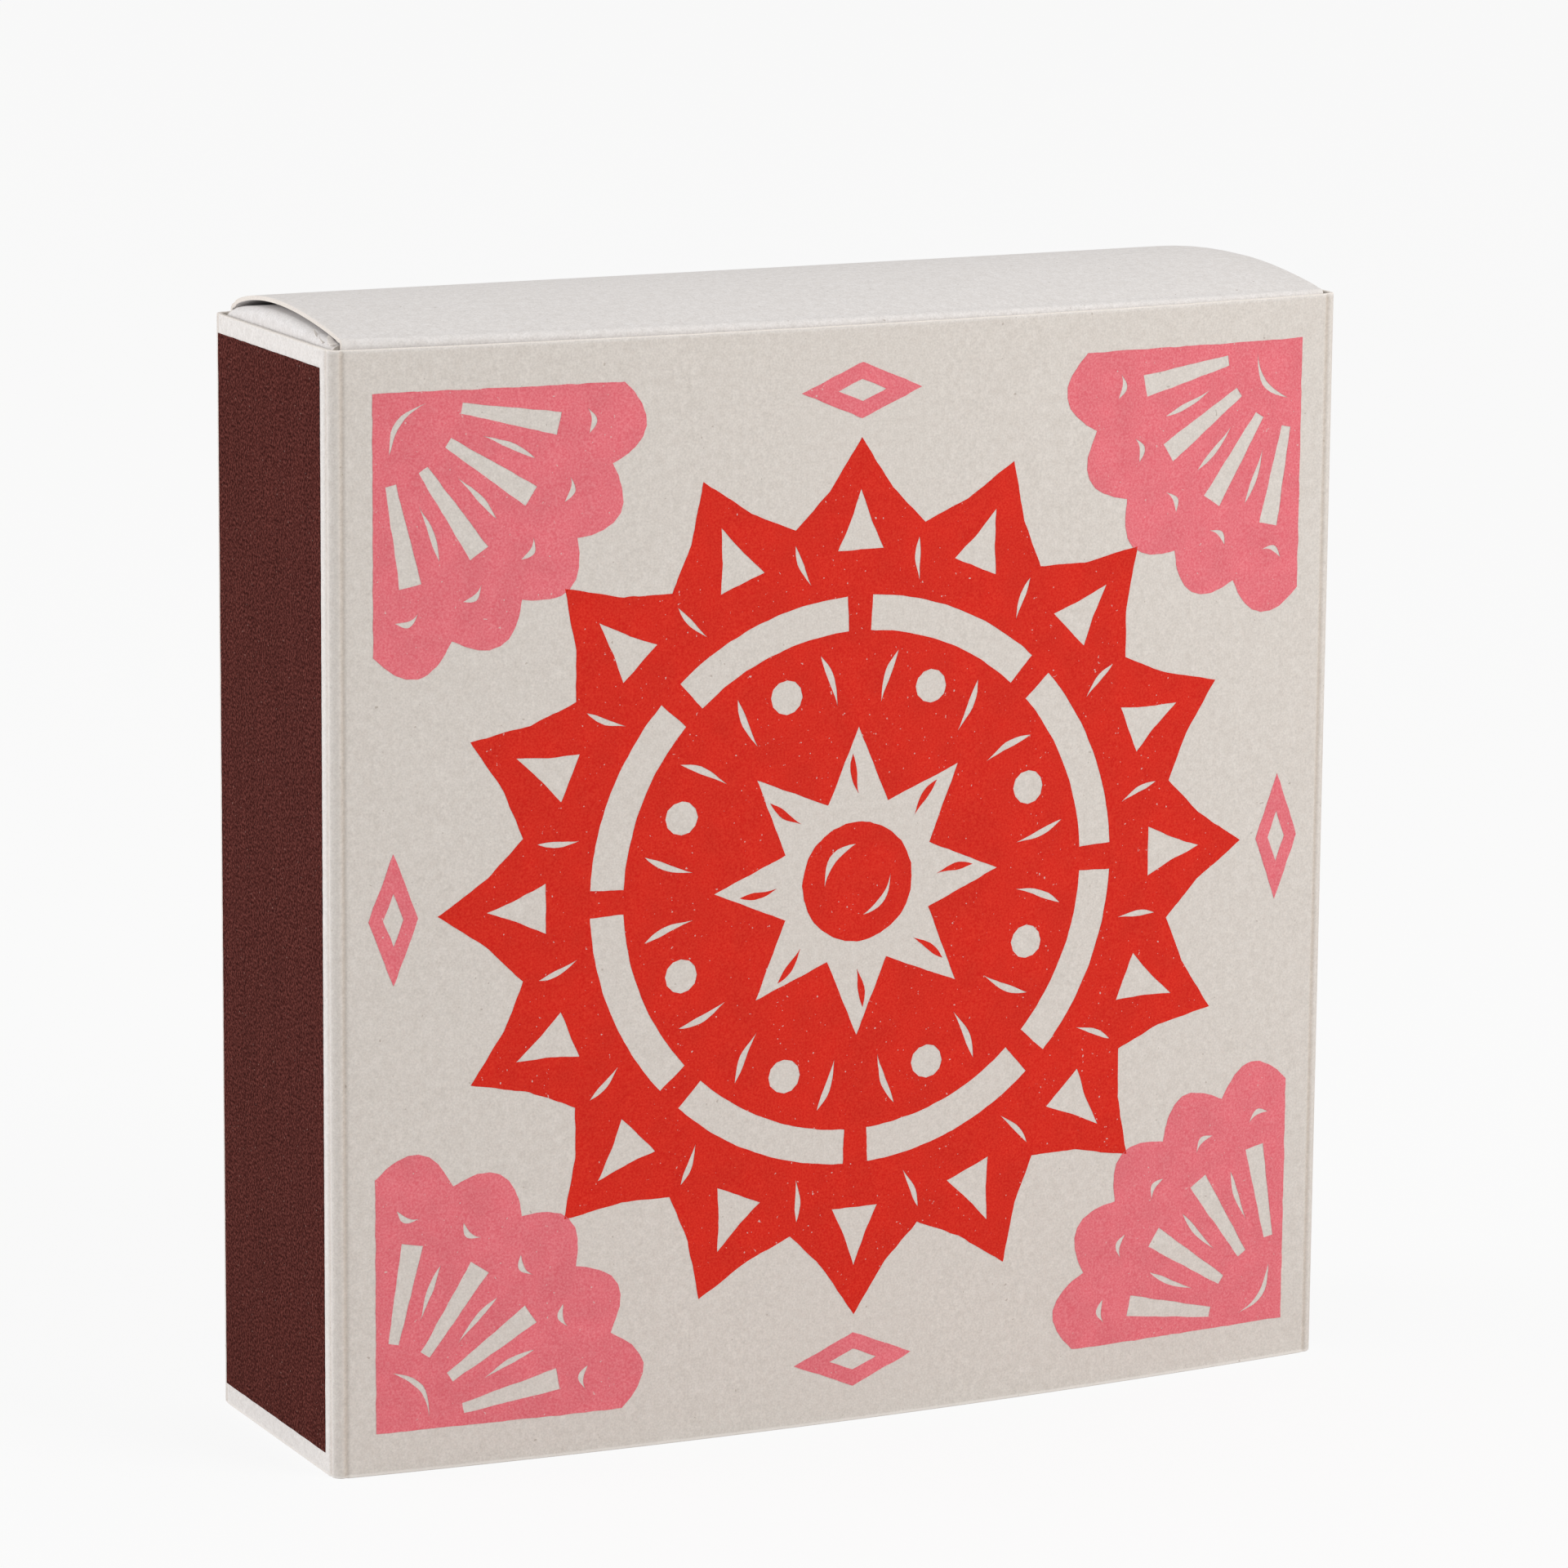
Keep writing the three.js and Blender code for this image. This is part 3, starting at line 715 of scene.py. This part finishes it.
def ray_hole(angle):
    """A slim triangle of bare card in each ray, its sides cut a little hollow."""
    across = Vector((-math.sin(angle), math.cos(angle)))
    tip = polar(sun_centre, sun_reach - ray_hole_tip, angle)
    base = polar(sun_centre, sun_reach - ray_hole_base, angle)
    waist = tip.lerp(base, ray_hole_waist_place)
    to_base = across * ray_hole_half_base
    to_waist = across * ray_hole_half_waist
    return [tip, waist + to_waist, base + to_base, base - to_base, waist - to_waist]


def ring_slot(index):
    """An arc of the ring between two webs."""
    part = 2 * math.pi / ring_parts
    half_web = ring_web / ring_inner / 2
    start = index * part + half_web
    end = (index + 1) * part - half_web
    steps = 12
    angles = [start + (end - start) * step / steps for step in range(steps + 1)]
    slot = [polar(sun_centre, ring_outer, angle) for angle in angles]
    slot += [polar(sun_centre, ring_inner, angle) for angle in reversed(angles)]
    return slot


def star_outline(centre, tip, notch, count):
    outline = []
    for index in range(count):
        angle = 2 * math.pi * index / count
        outline.append(polar(centre, tip, angle))
        outline.append(polar(centre, notch, angle + math.pi / count))
    return outline


sun_holes = [star_outline(sun_centre, star_tip, star_notch, star_points)]
for index in range(ray_count):
    ray_angle = math.pi / 2 + 2 * math.pi * index / ray_count
    sun_holes.append(ray_hole(ray_angle))
    notch_angle = ray_angle + math.pi / ray_count
    slant = (notch_angle - 0.02, notch_angle + 0.01)
    sun_holes.append(sun_stroke(ray_stroke, slant, width=0.0006, bend=0.0002))
for index in range(ring_parts):
    sun_holes.append(ring_slot(index))
    dot_angle = (index + 0.5) * 2 * math.pi / ring_parts
    sun_holes.append(round_outline(polar(sun_centre, dot_ring, dot_angle), dot_radius, steps=12))
    for side in (-1, 1):
        aside = side * dot_stroke_aside
        slant = (dot_angle + aside, dot_angle + aside * 0.8)
        sun_holes.append(sun_stroke(dot_stroke, slant, width=0.0007, bend=side * 0.0003))
lay_print("print_sun_disc", sun_outline(), sun_holes, red_ink, "print_sun")

button_cuts = []
for start, end, width, bend in (
    # the ends are measured from the sun's centre
    ((-0.0036, -0.0004), (-0.0002, 0.0038), 0.0009, 0.0011),
    ((0.0036, 0.0006), (0.0006, -0.0034), 0.0006, 0.0009),
):
    button_cuts.append(carved_stroke(sun_centre + Vector(start), sun_centre + Vector(end), width, bend))
button_outline = round_outline(sun_centre, button_radius, steps=28)
lay_print("print_sun_button", button_outline, button_cuts, red_ink, "print_sun_centre")

for index in range(star_points):
    point_angle = 2 * math.pi * index / star_points
    slant = (point_angle, point_angle + star_stroke_slant)
    mark = sun_stroke(star_stroke, slant, width=0.0007, bend=0.0002)
    lay_print(f"print_star_mark_{index + 1}", mark, [], red_ink)

fan_scallops = 5
fan_scallop_depth = 0.0026
fan_scallop_rise = 0.0014  # how far the scallops reach past the ends of the fan's straight sides
fan_slots = 4
fan_slot_near = 0.009  # from the fan's corner
fan_slot_far = 0.019
fan_slot_half_near = 0.06  # angle from a slot's middle to its side, at its near end
fan_slot_half_far = 0.058
fan_rib_stroke = (0.0118, 0.0176)  # where a stroke starts and ends, from the fan's corner
fan_rim_stroke = (0.0216, 0.0222)
fan_corner_stroke = (0.0055, 0.0062)
fan_stroke_width = 0.0006


def lay_fan(name, side_x, side_z):
    """A quarter fan with a scalloped rim, slots between its ribs and small cuts along the rim."""
    fan_low, fan_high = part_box(f"print_fan_{name}")
    corner = Vector((fan_high.x if side_x > 0 else fan_low.x, fan_high.z if side_z > 0 else fan_low.z))
    reach = fan_high.x - fan_low.x + fan_scallop_rise

    def towards(radius, angle):
        return corner - Vector((side_x * math.cos(angle), side_z * math.sin(angle))) * radius

    def fan_stroke(reaches, angles, bend):
        start, end = (towards(reach, angle) for reach, angle in zip(reaches, angles))
        return carved_stroke(start, end, fan_stroke_width, bend)

    quarter = math.pi / 2
    outline = [corner]
    steps = fan_scallops * 8
    for step in range(steps + 1):
        angle = quarter * step / steps
        dip = 1 - abs(math.sin(fan_scallops * 2 * angle))
        outline.append(towards(reach - fan_scallop_depth * dip, angle))
    holes = []
    for slot in range(fan_slots):
        angle = (slot + 0.5) * quarter / fan_slots
        holes.append(
            [
                towards(fan_slot_near, angle - fan_slot_half_near),
                towards(fan_slot_far, angle - fan_slot_half_far),
                towards(fan_slot_far, angle + fan_slot_half_far),
                towards(fan_slot_near, angle + fan_slot_half_near),
            ]
        )
    for rib in range(1, fan_slots):
        angle = rib * quarter / fan_slots
        holes.append(fan_stroke(fan_rib_stroke, (angle, angle + 0.01), bend=0.0002))
    for scallop in range(fan_scallops):
        angle = (scallop + 0.5) * quarter / fan_scallops
        holes.append(fan_stroke(fan_rim_stroke, (angle - 0.05, angle + 0.06), bend=0.0006))
    holes.append(fan_stroke(fan_corner_stroke, (0.2, 1.3), bend=-0.0012))
    lay_print(f"print_corner_fan_{name}", outline, holes, pink_ink, f"print_fan_{name}")


for fan_name, fan_x, fan_z in (
    ("upper_left", -1, 1),
    ("upper_right", 1, 1),
    ("lower_left", -1, -1),
    ("lower_right", 1, -1),
):
    lay_fan(fan_name, fan_x, fan_z)

lozenge_core = 0.4  # size of the bare middle, as a share of the lozenge's
for lozenge_name in ("top", "bottom", "left", "right"):
    lozenge_low, lozenge_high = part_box(f"print_lozenge_{lozenge_name}")
    middle = Vector(((lozenge_low.x + lozenge_high.x) / 2, (lozenge_low.z + lozenge_high.z) / 2))
    half_x = (lozenge_high.x - lozenge_low.x) / 2
    half_z = (lozenge_high.z - lozenge_low.z) / 2
    corners = [Vector((-half_x, 0)), Vector((0, -half_z)), Vector((half_x, 0)), Vector((0, half_z))]
    lozenge = [middle + corner for corner in corners]
    core = [middle + corner * lozenge_core for corner in corners]
    piece_name = f"print_edge_lozenge_{lozenge_name}"
    lay_print(piece_name, lozenge, [core], pink_ink, f"print_lozenge_{lozenge_name}")


# Tray
# A drawer folded from one sheet of plain white card. At each end the floor turns up, runs over two
# corner flaps, rolls over at the front rim and tucks back inside, which locks the flaps.
tray_proud = 0.0009  # how far the upper end stands above the sleeve
tray_lift = 0.0004  # how far the lower end stays above the sleeve's lower end
tray_fold = 0.0009
flap_gap = 0.00025
flap_length = 0.026
flap_play = 0.0003
flap_spring = 0.78  # share of the upper end's bulge that its corner flaps fill
flap_softness = 0.15  # extra radius of a flap's fold, as a share of its spring
rim_bow = 0.0028
rim_squareness = 0.55  # 1 makes the rolled rim round, less makes it squarer
lean_left = 0.0001
lean_right = -0.0005
bulge_left = 0.0017  # height of the upper end's crest above its rim, at its left
bulge_gain = 0.00085  # how much higher the crest is at its right
bulge_rise = 0.8  # below 1, most of that gain lies towards the left
bulge_droop = 0.00105  # how far the crest drops again at the right corner
droop_start = 0.93  # share of the width at which that drop starts
bulge_skew = 1.3  # above 1, the crest lies nearer the floor than the rim
bulge_fullness = 0.62  # below 1, the bulge is fuller than a sine

tray_low, tray_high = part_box("tray")
tray_left = tray_low.x
tray_right = tray_high.x
tray_back = tray_high.y
tray_clearance = back_edge - card - tray_back
tray_front = front_edge + card + tray_clearance
tray_width = tray_right - tray_left
tray_middle = (tray_left + tray_right) / 2
layer_pitch = card + flap_gap
fold_bend = tray_fold - card / 2
upper_outer = height + tray_proud - card / 2
lower_outer = tray_lift + card / 2
upper_turn = upper_outer - layer_pitch + card / 2 - tray_fold
lower_turn = lower_outer + layer_pitch - card / 2 + tray_fold


def lean_at(x, up):
    """How much higher the folded upper end sits on its left than on its right."""
    share = (x - tray_left) / tray_width
    return lean_left + (lean_right - lean_left) * share if up > 0 else 0.0


def bulge_height(x):
    """Height of the upper end's crest above its rim, from the left to the right."""
    share = min(max((x - tray_left) / tray_width, 0), 1)
    past = max(share - droop_start, 0) / (1 - droop_start)
    return bulge_left + bulge_gain * share**bulge_rise - bulge_droop * past**2


def arch_at(share, crest):
    """Height of the upper end above its rim, from the rim (0) to the floor fold (1)."""
    return crest * max(math.sin(math.pi * share**bulge_skew), 0.0) ** bulge_fullness


def facing_right(line):
    """The direction to the right of travel at each point of a flat line."""
    facings = []
    for index in range(len(line)):
        before = line[max(index - 1, 0)]
        after = line[min(index + 1, len(line) - 1)]
        along = (after - before).normalized()
        facings.append(Vector((along.y, -along.x)))
    return facings


def quarter_turn(centre, radius, start, end, steps):
    """Points of an arc, both ends included."""
    angles = [start + (end - start) * step / steps for step in range(steps + 1)]
    return [polar(centre, radius, angle) for angle in angles]


def channel_rows():
    """The floor and side walls seen from above, run up from the lower folds to the upper ones."""
    left = tray_left + card / 2
    right = tray_right - card / 2
    floor_line = tray_back - card / 2
    turn_y = floor_line - fold_bend
    line = [Vector((left, tray_front)), Vector((left, (tray_front + turn_y) / 2))]
    line += quarter_turn(Vector((left + fold_bend, turn_y)), fold_bend, math.pi, math.pi / 2, 6)
    line += [Vector((left + (right - left) * step / 10, floor_line)) for step in range(1, 10)]
    line += quarter_turn(Vector((right - fold_bend, turn_y)), fold_bend, math.pi / 2, 0, 6)
    line += [Vector((right, (tray_front + turn_y) / 2)), Vector((right, tray_front))]
    rows = []
    steps = 16
    for step in range(steps + 1):
        share = step / steps
        row = []
        for point, facing in zip(line, facing_right(line)):
            high = upper_turn + lean_at(point.x, 1)
            z = lower_turn + (high - lower_turn) * share
            row.append((Vector((point.x, point.y, z)), Vector((-facing.x, -facing.y, 0))))
        rows.append(row)
    return rows


def flap_rows(side, up):
    """A corner flap: up the side wall, softly round the fold and in under the end's outer layer."""
    wall = tray_left + card / 2 if side < 0 else tray_right - card / 2
    level = upper_outer - layer_pitch if up > 0 else lower_outer + layer_pitch
    turn = upper_turn if up > 0 else lower_turn
    front = tray_front + card + flap_play
    back = tray_back - card - flap_play
    rim_y = tray_front + card / 2 + layer_pitch
    fold_y = tray_back - card / 2 - fold_bend
    rows = []
    steps = 24
    for step in range(steps + 1):
        y = front + (back - front) * step / steps
        share = min(max((y - rim_y) / (fold_y - rim_y), 0), 1)
        spring = flap_spring * arch_at(share, bulge_height(wall)) if up > 0 else 0.0
        bend = fold_bend + spring * flap_softness
        line = [Vector((0, (turn - level) * up))]
        line += quarter_turn(Vector((bend, spring - bend)), bend, math.pi, math.pi / 2, 10)
        line += [Vector((bend + (flap_length - bend) * run / 8, spring)) for run in range(1, 9)]
        row = []
        for point, facing in zip(line, facing_right(line)):
            x = wall - side * point.x
            z = level + up * point.y + lean_at(x, up)
            row.append((Vector((x, y, z)), Vector((facing.x * side, 0, -facing.y * up))))
        rows.append(row)
    return rows


def rim_roll(rim_y):
    """The rolled rim, pressed almost square: over the top, down the front and back in underneath."""
    roll = []
    steps = 20
    for step in range(steps + 1):
        angle = math.pi / 2 + math.pi * step / steps
        cosine = math.cos(angle)
        sine = math.sin(angle)
        out = -(abs(cosine) ** rim_squareness)
        rise = math.copysign(abs(sine) ** rim_squareness, sine)
        roll.append(Vector((rim_y + out * layer_pitch, (rise - 1) * layer_pitch)))
    return roll


def end_rows(up):
    """An end wall: up from the floor, over the flaps to the rim, round it and back down inside."""
    outer = upper_outer if up > 0 else lower_outer
    turn = upper_turn if up > 0 else lower_turn
    floor_line = tray_back - card / 2
    fold_y = floor_line - fold_bend
    rim_y = tray_front + card / 2 + layer_pitch
    inner_end = tray_back - card - flap_play
    left = tray_left + card + flap_play
    right = tray_right
    columns = 72
    arch_steps = 40
    rows = []
    for column in range(columns + 1):
        x = left + (right - left) * column / columns
        across = (x - tray_middle) / (tray_width / 2)
        crest = bulge_height(x) if up > 0 else 0.0
        line = [Vector((floor_line, (turn - outer) * up))]
        line += quarter_turn(Vector((fold_y, -fold_bend)), fold_bend, 0, math.pi / 2, 8)[:-1]
        for step in range(arch_steps + 1):
            share = 1 - step / arch_steps
            line.append(Vector((rim_y + (fold_y - rim_y) * share, arch_at(share, crest))))
        line += rim_roll(rim_y)[1:]
        line += [Vector((rim_y + (inner_end - rim_y) * step / 8, -2 * layer_pitch)) for step in range(1, 9)]
        row = []
        for point, facing in zip(line, facing_right(line)):
            forward = min(max((tray_back - card - point.x) / (tray_back - tray_front), 0), 1)
            y = point.x - rim_bow * (1 - across**2) * forward
            z = outer + up * point.y + lean_at(x, up)
            row.append((Vector((x, y, z)), Vector((0, facing.x, facing.y * up))))
        rows.append(row)
    return rows


tray_tone = as_seen(232, 229, 228)
tray_face = card_face("tray_card", tray_tone)
tray_cut = cut_card("tray_cut", as_seen(238, 231, 224))
tray_finishes = [tray_face, tray_cut]


def add_tray_card(name, rows):
    piece = finish_piece(name, card_sheet(rows), tray_finishes, "tray")
    soften_cut(piece)
    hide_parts("tray")


add_tray_card("tray_channel", channel_rows())
for up, end_name in ((1, "upper"), (-1, "lower")):
    add_tray_card(f"tray_end_{end_name}", end_rows(up))
    for side, side_name in ((-1, "left"), (1, "right")):
        add_tray_card(f"tray_flap_{end_name}_{side_name}", flap_rows(side, up))


# Frayed corners
# Handling has split the card at the upper corners. Slivers of its white core stand off the folds of
# the tray's corner flaps, four at the left and two at the right, bent this way and that.
sliver_thick = 0.00014
sliver_curl = 1.6  # above 1, a sliver rises most towards its tip
sliver_taper = 0.7  # share of its width that it loses on the way
sliver_thinning = 0.5
frays = [
    # side, how far behind the rim, in from the wall, length, width, rise, share turned inwards
    (-1, 0.0002, 0.0000, 0.0019, 0.0008, 0.0006, 0.1),
    (-1, 0.0012, 0.0002, 0.0018, 0.0007, 0.0009, 0.3),
    (-1, 0.0022, 0.0000, 0.0022, 0.0008, 0.0005, 0.12),
    (-1, 0.0036, 0.0003, 0.0014, 0.0005, 0.0009, -0.2),
    (1, 0.0002, 0.0001, 0.0012, 0.0007, 0.0008, 0.3),
    (1, 0.0009, 0.0000, 0.0011, 0.0006, 0.0006, -0.2),
]


def add_loops(mesh, loops):
    """Joins loops of points into one closed tube with a flat face at each end."""
    rings = [[mesh.verts.new(point) for point in loop] for loop in loops]
    for ring, above in zip(rings, rings[1:]):
        for place in range(len(ring)):
            beside = (place + 1) % len(ring)
            mesh.faces.new((ring[place], ring[beside], above[beside], above[place]))
    mesh.faces.new(list(reversed(rings[0])))
    mesh.faces.new(rings[-1])


def add_sliver(mesh, root, along, long, wide, rise):
    """A tapering shred of card that curls up as it leaves its root."""
    across = along.cross(Vector((0, 0, 1))).normalized()
    steps = 6
    loops = []
    for step in range(steps + 1):
        share = step / steps
        middle = root + along * long * share + Vector((0, 0, rise * share**sliver_curl))
        half = across * wide / 2 * (1 - sliver_taper * share**2)
        thick = Vector((0, 0, sliver_thick / 2 * (1 - sliver_thinning * share)))
        left = middle - half
        right = middle + half
        loops.append([left - thick, right - thick, right + thick, left + thick])
    add_loops(mesh, loops)


shred_finish = cut_card("shredded_card", as_seen(246, 241, 237))
for side, side_name in ((-1, "left"), (1, "right")):
    shreds = bmesh.new()
    wall = tray_left if side < 0 else tray_right
    for fray_side, behind, inside, long, wide, rise, inwards in frays:
        if fray_side == side:
            x = wall - side * (inside + wide / 2)
            level = upper_outer - layer_pitch + card / 2 + lean_at(x, 1)
            root = Vector((x, tray_front + card + flap_play + behind, level))
            along = Vector((-side * inwards, 1, 0)).normalized()
            add_sliver(shreds, root, along, long, wide, rise)
    finish_piece(f"frayed_corner_{side_name}", shreds, [shred_finish], "tray", smooth_to=80)


# Matches
# Square splints sawn from aspen, all heads up: one loose layer of twenty-one on four pressed layers.
# Each head is dipped, so it hugs the splint at its base and swells to a blunt, slightly rough bulb.
match_size = 0.0026
chamfer = 0.00015
head_long = 0.0065
head_wide = 0.0044
head_lumps = 0.035  # height of the lumps, as a share of the head's radius
head_grain = 1 / 700
head_over_splint = 0.0003  # how far a splint runs up into its head
splint_bend = 0.00015
splint_stride = 3.7  # sets each match apart from the next, so that no two bend alike
head_stride = 5.3
splint_steps = 14
head_marks = [
    # share of the length, share of the width, squareness (2 is round)
    (0.0, 0.63, 6.0),
    (0.1, 0.7, 5.0),
    (0.22, 0.83, 3.6),
    (0.36, 0.94, 2.8),
    (0.52, 1.0, 2.3),
    (0.68, 0.97, 2.1),
    (0.82, 0.82, 2.0),
    (0.92, 0.58, 2.0),
    (0.98, 0.3, 2.0),
]
head_corners = 16


def add_splint(mesh, x, y, low, high, seed):
    """A square stick with broken edges and a slight bend."""
    half = match_size / 2
    corners = []
    for side_x, side_y in ((-1, -1), (1, -1), (1, 1), (-1, 1)):
        near = Vector((side_x * half, side_y * (half - chamfer), 0))
        far = Vector((side_x * (half - chamfer), side_y * half, 0))
        corners += [near, far] if side_x * side_y > 0 else [far, near]
    bend = noise.noise_vector(Vector((seed * splint_stride, 0.5, 0.5))) * splint_bend
    loops = []
    for step in range(splint_steps + 1):
        share = step / splint_steps
        bow = math.sin(math.pi * share)
        middle = Vector((x + bend.x * bow, y + bend.y * bow, low + (high - low) * share))
        loops.append([middle + corner for corner in corners])
    add_loops(mesh, loops)


def add_head(mesh, x, y, base, seed):
    """A dipped head, nearly square where it hugs the splint and round towards its tip."""
    loops = []
    for along, wide, squareness in head_marks:
        loop = []
        for corner in range(head_corners):
            angle = 2 * math.pi * corner / head_corners
            cosine = abs(math.cos(angle))
            sine = abs(math.sin(angle))
            reach = (cosine**squareness + sine**squareness) ** (-1 / squareness)
            point = Vector((math.cos(angle), math.sin(angle), 0)) * reach * wide * head_wide / 2
            point.z = along * head_long
            lump = noise.noise(point / head_grain + Vector((seed * head_stride, 0, 0)))
            loop.append(Vector((x, y, base)) + point * (1 + head_lumps * lump))
        loops.append(loop)
    add_loops(mesh, loops)


def aspen_finish():
    """Pale straight-grained wood with fine fibres along the splint, a little different in each match."""
    finish = new_finish("aspen", roughness=0.78, gloss=0.25)
    tones = graded(
        finish,
        spots(finish, size=5.0, detail=1.0, stretch=(1, 1, 60)),
        [(0.35, as_seen(221, 195, 152)), (0.5, as_seen(234, 212, 174)), (0.68, as_seen(243, 226, 194))],
    )
    fibres = graded(
        finish,
        spots(finish, size=0.3, detail=4.0, stretch=(1, 1, 40)),
        [(0.3, grey(0.88)), (0.7, grey(1.04))],
    )
    colour_with(finish, laid_over(finish, "MULTIPLY", 1.0, tones, fibres))
    grain = spots(finish, size=0.22, detail=3.0, stretch=(1, 1, 30))
    relief_with(finish, grain, depth=0.00004, strength=0.7)
    return finish


def head_finish():
    """Dull red match compound: a matt crust with fine lumps and paler dust on them."""
    finish = new_finish("dipped_head", roughness=0.7, gloss=0.3)
    crust = graded(
        finish,
        spots(finish, size=0.35, detail=4.0),
        [(0.3, as_seen(142, 22, 18)), (0.55, as_seen(178, 32, 26)), (0.78, as_seen(204, 62, 50))],
    )
    colour_with(finish, crust)
    relief_with(finish, spots(finish, size=0.3, detail=4.0), depth=0.00012, strength=0.8)
    return finish


aspen = aspen_finish()
head_red = head_finish()
match_total = sum(1 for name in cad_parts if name.startswith("match_head_"))
for index in range(match_total):
    number = f"{index + 1:02d}"
    stick_low, stick_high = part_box(f"match_splint_{number}")
    bulb_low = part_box(f"match_head_{number}")[0]
    match_x = (stick_low.x + stick_high.x) / 2
    match_y = (stick_low.y + stick_high.y) / 2
    stick = bmesh.new()
    add_splint(stick, match_x, match_y, stick_low.z, bulb_low.z + head_over_splint, index)
    stick_piece = finish_piece(f"loose_splint_{number}", stick, [aspen], "tray")
    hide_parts(f"match_splint_{number}")
    bulb = bmesh.new()
    add_head(bulb, match_x, match_y, bulb_low.z, index)
    bulb_piece = finish_piece(f"loose_head_{number}", bulb, [head_red], "tray", smooth_to=50)
    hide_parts(f"match_head_{number}")

first_low, first_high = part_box("match_splint_01")
match_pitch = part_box("match_splint_02")[0].x - first_low.x
bed_low, bed_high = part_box("match_bed")
bed_layers = 4
bed_seed = 40
most_shortfall = 0.0009  # how much shorter than the longest a match of the bed can be
bed_pitch = (bed_high.y - bed_low.y - head_wide) / (bed_layers - 1)
bed_splints = bmesh.new()
bed_heads = bmesh.new()
for layer in range(bed_layers):
    layer_y = bed_high.y - head_wide / 2 - layer * bed_pitch
    staggered = (bed_layers - layer) % 2
    for index in range(match_total - staggered):
        match_x = (first_low.x + first_high.x) / 2 + (index + staggered / 2) * match_pitch
        seed = bed_seed + layer * match_total + index
        shortfall = most_shortfall * (0.5 + 0.5 * math.sin(seed * 2.4))
        base = bed_high.z - head_long - shortfall
        add_splint(bed_splints, match_x, layer_y, bed_low.z, base + head_over_splint, seed)
        add_head(bed_heads, match_x, layer_y, base, seed)
bed_splint_piece = finish_piece("bed_splints", bed_splints, [aspen], "tray")
bed_head_piece = finish_piece("bed_heads", bed_heads, [head_red], "tray", smooth_to=50)
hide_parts("match_bed")
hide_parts("match_bed")
